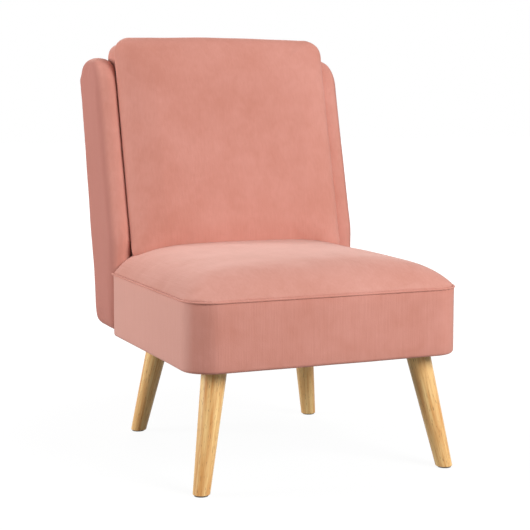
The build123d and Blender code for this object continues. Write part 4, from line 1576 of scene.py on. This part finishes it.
@dataclass
class HiddenFrame:
    """Timber, metal and fillings inside the chair, which stay as modelled."""

    finishes: dict[str, Speckled] = field(default_factory=lambda: {
        # Peeled veneer glued crosswise: pale, with long soft streaks and no gloss.
        "plywood": Speckled("birch_plywood", "#d9bd93", "#bf9b6c", (45 * MM, 6 * MM, 3 * MM), 0.75),
        # Turned rod of dense wood: warm tan with short flecks.
        "beech": Speckled("beech_dowel", "#d8b48b", "#b98f63", (8 * MM, 2 * MM, 2 * MM), 0.6),
        # Thin bright plating: cool grey with a satin gleam and faint crystals.
        "zinc": Speckled(
            "zinc_plated_steel", "#b9bcc0", "#9ba0a6", (5 * MM, 5 * MM, 5 * MM), 0.35, 1.0,
        ),
        # Moulded nylon: an even mid grey with a slight gloss.
        "plastic": Speckled("grey_nylon", "#6d6a66", "#5e5b58", (3 * MM, 3 * MM, 3 * MM), 0.5),
        # Carded and pressed fibre: off-white, matt and tufty.
        "felt": Speckled("cotton_felt", "#cfc8ba", "#b4ab9b", (6 * MM, 6 * MM, 4 * MM), 0.95),
        # Coarse woven strap: straw brown bars of thread, matt.
        "webbing": Speckled("jute_webbing", "#a98c5f", "#8a6f47", (3 * MM, 9 * MM, 3 * MM), 0.9),
        # Bonded fibres pressed flat: nearly black and matt, with a faint fleck.
        "lining": Speckled(
            "spunbond_lining", "#3a3937", "#2b2a29", (2.5 * MM, 2.5 * MM, 2.5 * MM), 0.95,
        ),
        # Pressed wood fibre: an even brown with a soft speckle.
        "hardboard": Speckled(
            "brown_hardboard", "#8f6a45", "#775535", (4 * MM, 4 * MM, 4 * MM), 0.7,
        ),
    })
    # Words in the nodes' names for each finish. The first finish with a word that fits is taken.
    kinds: dict[str, tuple[str, ...]] = field(default_factory=lambda: {
        "zinc": ("bolt", "nut", "screw", "spring", "clip", "nail", "washer"),
        "beech": ("dowel",),
        "plastic": ("glide",),
        "webbing": ("webbing",),
        "lining": ("dust",),
        "hardboard": ("stiffener",),
        "felt": ("felt", "wadding", "foam"),
        "plywood": ("rail", "post", "board"),
    })

    def dress(self) -> None:
        """Gives every hidden node the material of its kind."""
        made = {kind: finish.material() for kind, finish in self.finishes.items()}
        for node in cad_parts:
            found = [kind for kind, words in self.kinds.items() if any(word in node for word in words)]
            if found and not node.startswith(("leg_front", "leg_rear")):
                paint(node, made[found[0]])


@dataclass(frozen=True)
class SoftBox:
    """Large square studio light aimed at a point of the chair."""

    name: str
    place: tuple[float, float, float]
    size: float
    power: float
    target: tuple[float, float, float] = (0, 0, 0.4)

    def hang(self) -> None:
        """Adds the light to the scene."""
        lamp = bpy.data.lights.new(self.name, "AREA")
        lamp.size = self.size
        lamp.energy = self.power
        light = bpy.data.objects.new(self.name, lamp)
        bpy.context.scene.collection.objects.link(light)
        light.location = self.place
        aim = Vector(self.target) - Vector(self.place)
        light.rotation_euler = aim.to_track_quat("-Z", "Y").to_euler()


@dataclass
class Studio:
    """White sweep, soft lights and the camera."""

    floor_size: float = 40.0
    floor_colour: str = "#9a9a9a"
    floor_glow: float = 1.18
    near_share: float = 0.8
    world_light: float = 0.26
    shadow_near: float = 0.5
    shadow_far: float = 1.6
    camera_place: tuple[float, float, float] = (-1.1755, -2.7663, 0.7578)
    camera_tilt: float = math.radians(90 - 6.88)
    camera_turn: float = math.radians(-23.24)
    lens: float = 93.94
    sensor: float = 36.0
    lights: tuple[SoftBox, ...] = (
        SoftBox("key_light", (1.5, -3.2, 2.4), size=1.8, power=146),
        SoftBox("side_light", (-3.0, 0.85, 1.2), size=1.2, power=70),
        SoftBox("top_light", (0.1, 0.2, 3.4), size=2.6, power=10),
        SoftBox("rear_light", (0.9, 3.3, 1.9), size=2.0, power=50, target=(0, 0, 0.5)),
    )

    def build(self) -> None:
        """Sets up the floor, world, lights and camera."""
        self.lay_floor()
        self.light_world()
        for light in self.lights:
            light.hang()
        self.place_camera()
        bpy.context.scene.view_settings.view_transform = "Standard"

    def lay_floor(self) -> None:
        """Lays a floor that looks white to the camera and still takes the chair's shadow."""
        clear_selection()
        bpy.ops.mesh.primitive_plane_add(size=self.floor_size, location=(0, 0, 0))
        floor = bpy.context.object
        floor.name = "studio_floor"
        material, tree = new_tree("white_sweep")
        matte = add_node(tree, "ShaderNodeBsdfDiffuse", sockets={
            "Color": linear(self.floor_colour),
        })
        glow = add_node(tree, "ShaderNodeEmission", sockets={
            "Color": (1, 1, 1, 1), "Strength": self.floor_glow,
        })
        place = add_node(tree, "ShaderNodeTexCoord").outputs["Object"]
        distance = add_node(tree, "ShaderNodeVectorMath", {"operation": "LENGTH"}, {0: place})
        fade = add_node(tree, "ShaderNodeMapRange", {"interpolation_type": "SMOOTHSTEP"}, {
            "Value": distance.outputs["Value"],
            "From Min": self.shadow_near,
            "From Max": self.shadow_far,
            "To Min": self.near_share,
            "To Max": 1.0,
        })
        share = add_node(tree, "ShaderNodeMath", {"operation": "MULTIPLY"}, {
            0: self.seen(tree), 1: fade.outputs["Result"],
        })
        mix = add_node(tree, "ShaderNodeMixShader", sockets={
            0: share.outputs["Value"], 1: matte.outputs["BSDF"], 2: glow.outputs["Emission"],
        })
        add_node(tree, "ShaderNodeOutputMaterial", sockets={"Surface": mix.outputs["Shader"]})
        floor.data.materials.append(material)

    def seen(self, tree: bpy.types.NodeTree) -> bpy.types.NodeSocket:
        """Marks the rays that show the white ground: seen straight, mirrored or through glass.

        Args:
            tree: Node tree of the floor or the world.

        Returns:
            Socket that is 1 on those rays and 0 on the rest.
        """
        ray = add_node(tree, "ShaderNodeLightPath")
        either = add_node(tree, "ShaderNodeMath", {"operation": "MAXIMUM"}, {
            0: ray.outputs["Is Camera Ray"], 1: ray.outputs["Is Glossy Ray"],
        })
        every = add_node(tree, "ShaderNodeMath", {"operation": "MAXIMUM"}, {
            0: either.outputs["Value"], 1: ray.outputs["Is Transmission Ray"],
        })
        return every.outputs["Value"]

    def light_world(self) -> None:
        """Surrounds the chair with soft white that the camera sees as pure white."""
        world = bpy.data.worlds.new("white_studio")
        world.use_nodes = True
        bpy.context.scene.world = world
        tree = world.node_tree
        tree.nodes.clear()
        strength = add_node(tree, "ShaderNodeMapRange", sockets={
            "Value": self.seen(tree), "To Min": self.world_light, "To Max": 1.0,
        })
        glow = add_node(tree, "ShaderNodeBackground", sockets={
            "Color": (1, 1, 1, 1), "Strength": strength.outputs["Result"],
        })
        add_node(tree, "ShaderNodeOutputWorld", sockets={"Surface": glow.outputs["Background"]})

    def place_camera(self) -> None:
        """Puts the camera where the picture was taken from."""
        lens = bpy.data.cameras.new("camera")
        lens.lens = self.lens
        lens.sensor_width = self.sensor
        camera = bpy.data.objects.new("camera", lens)
        bpy.context.scene.collection.objects.link(camera)
        camera.location = self.camera_place
        camera.rotation_euler = (self.camera_tilt, 0, self.camera_turn)
        bpy.context.scene.camera = camera


def main() -> None:
    """Builds and dresses the chair piece by piece."""
    logging.basicConfig(level=logging.INFO, format="%(name)s: %(message)s")
    back = BackLean()
    wings = Wing().build()
    back_cushion = BackCushion().build(back, wings)
    seat = [SeatCushion().build(back, back_cushion), SeatWelt().build(), SeatBand().build()]
    rear_panel = RearPanel().build()
    trim = [FootWrap().build(), *DustCloth().build()]
    pieces = [*wings, back_cushion, rear_panel, *seat, *trim]
    for piece in pieces:
        LOG.info("%s: %d faces", piece.name, len(piece.data.polygons))
    HiddenFrame().dress()
    Legs().dress()
    Studio().build()


if __name__ == "__main__":
    main()
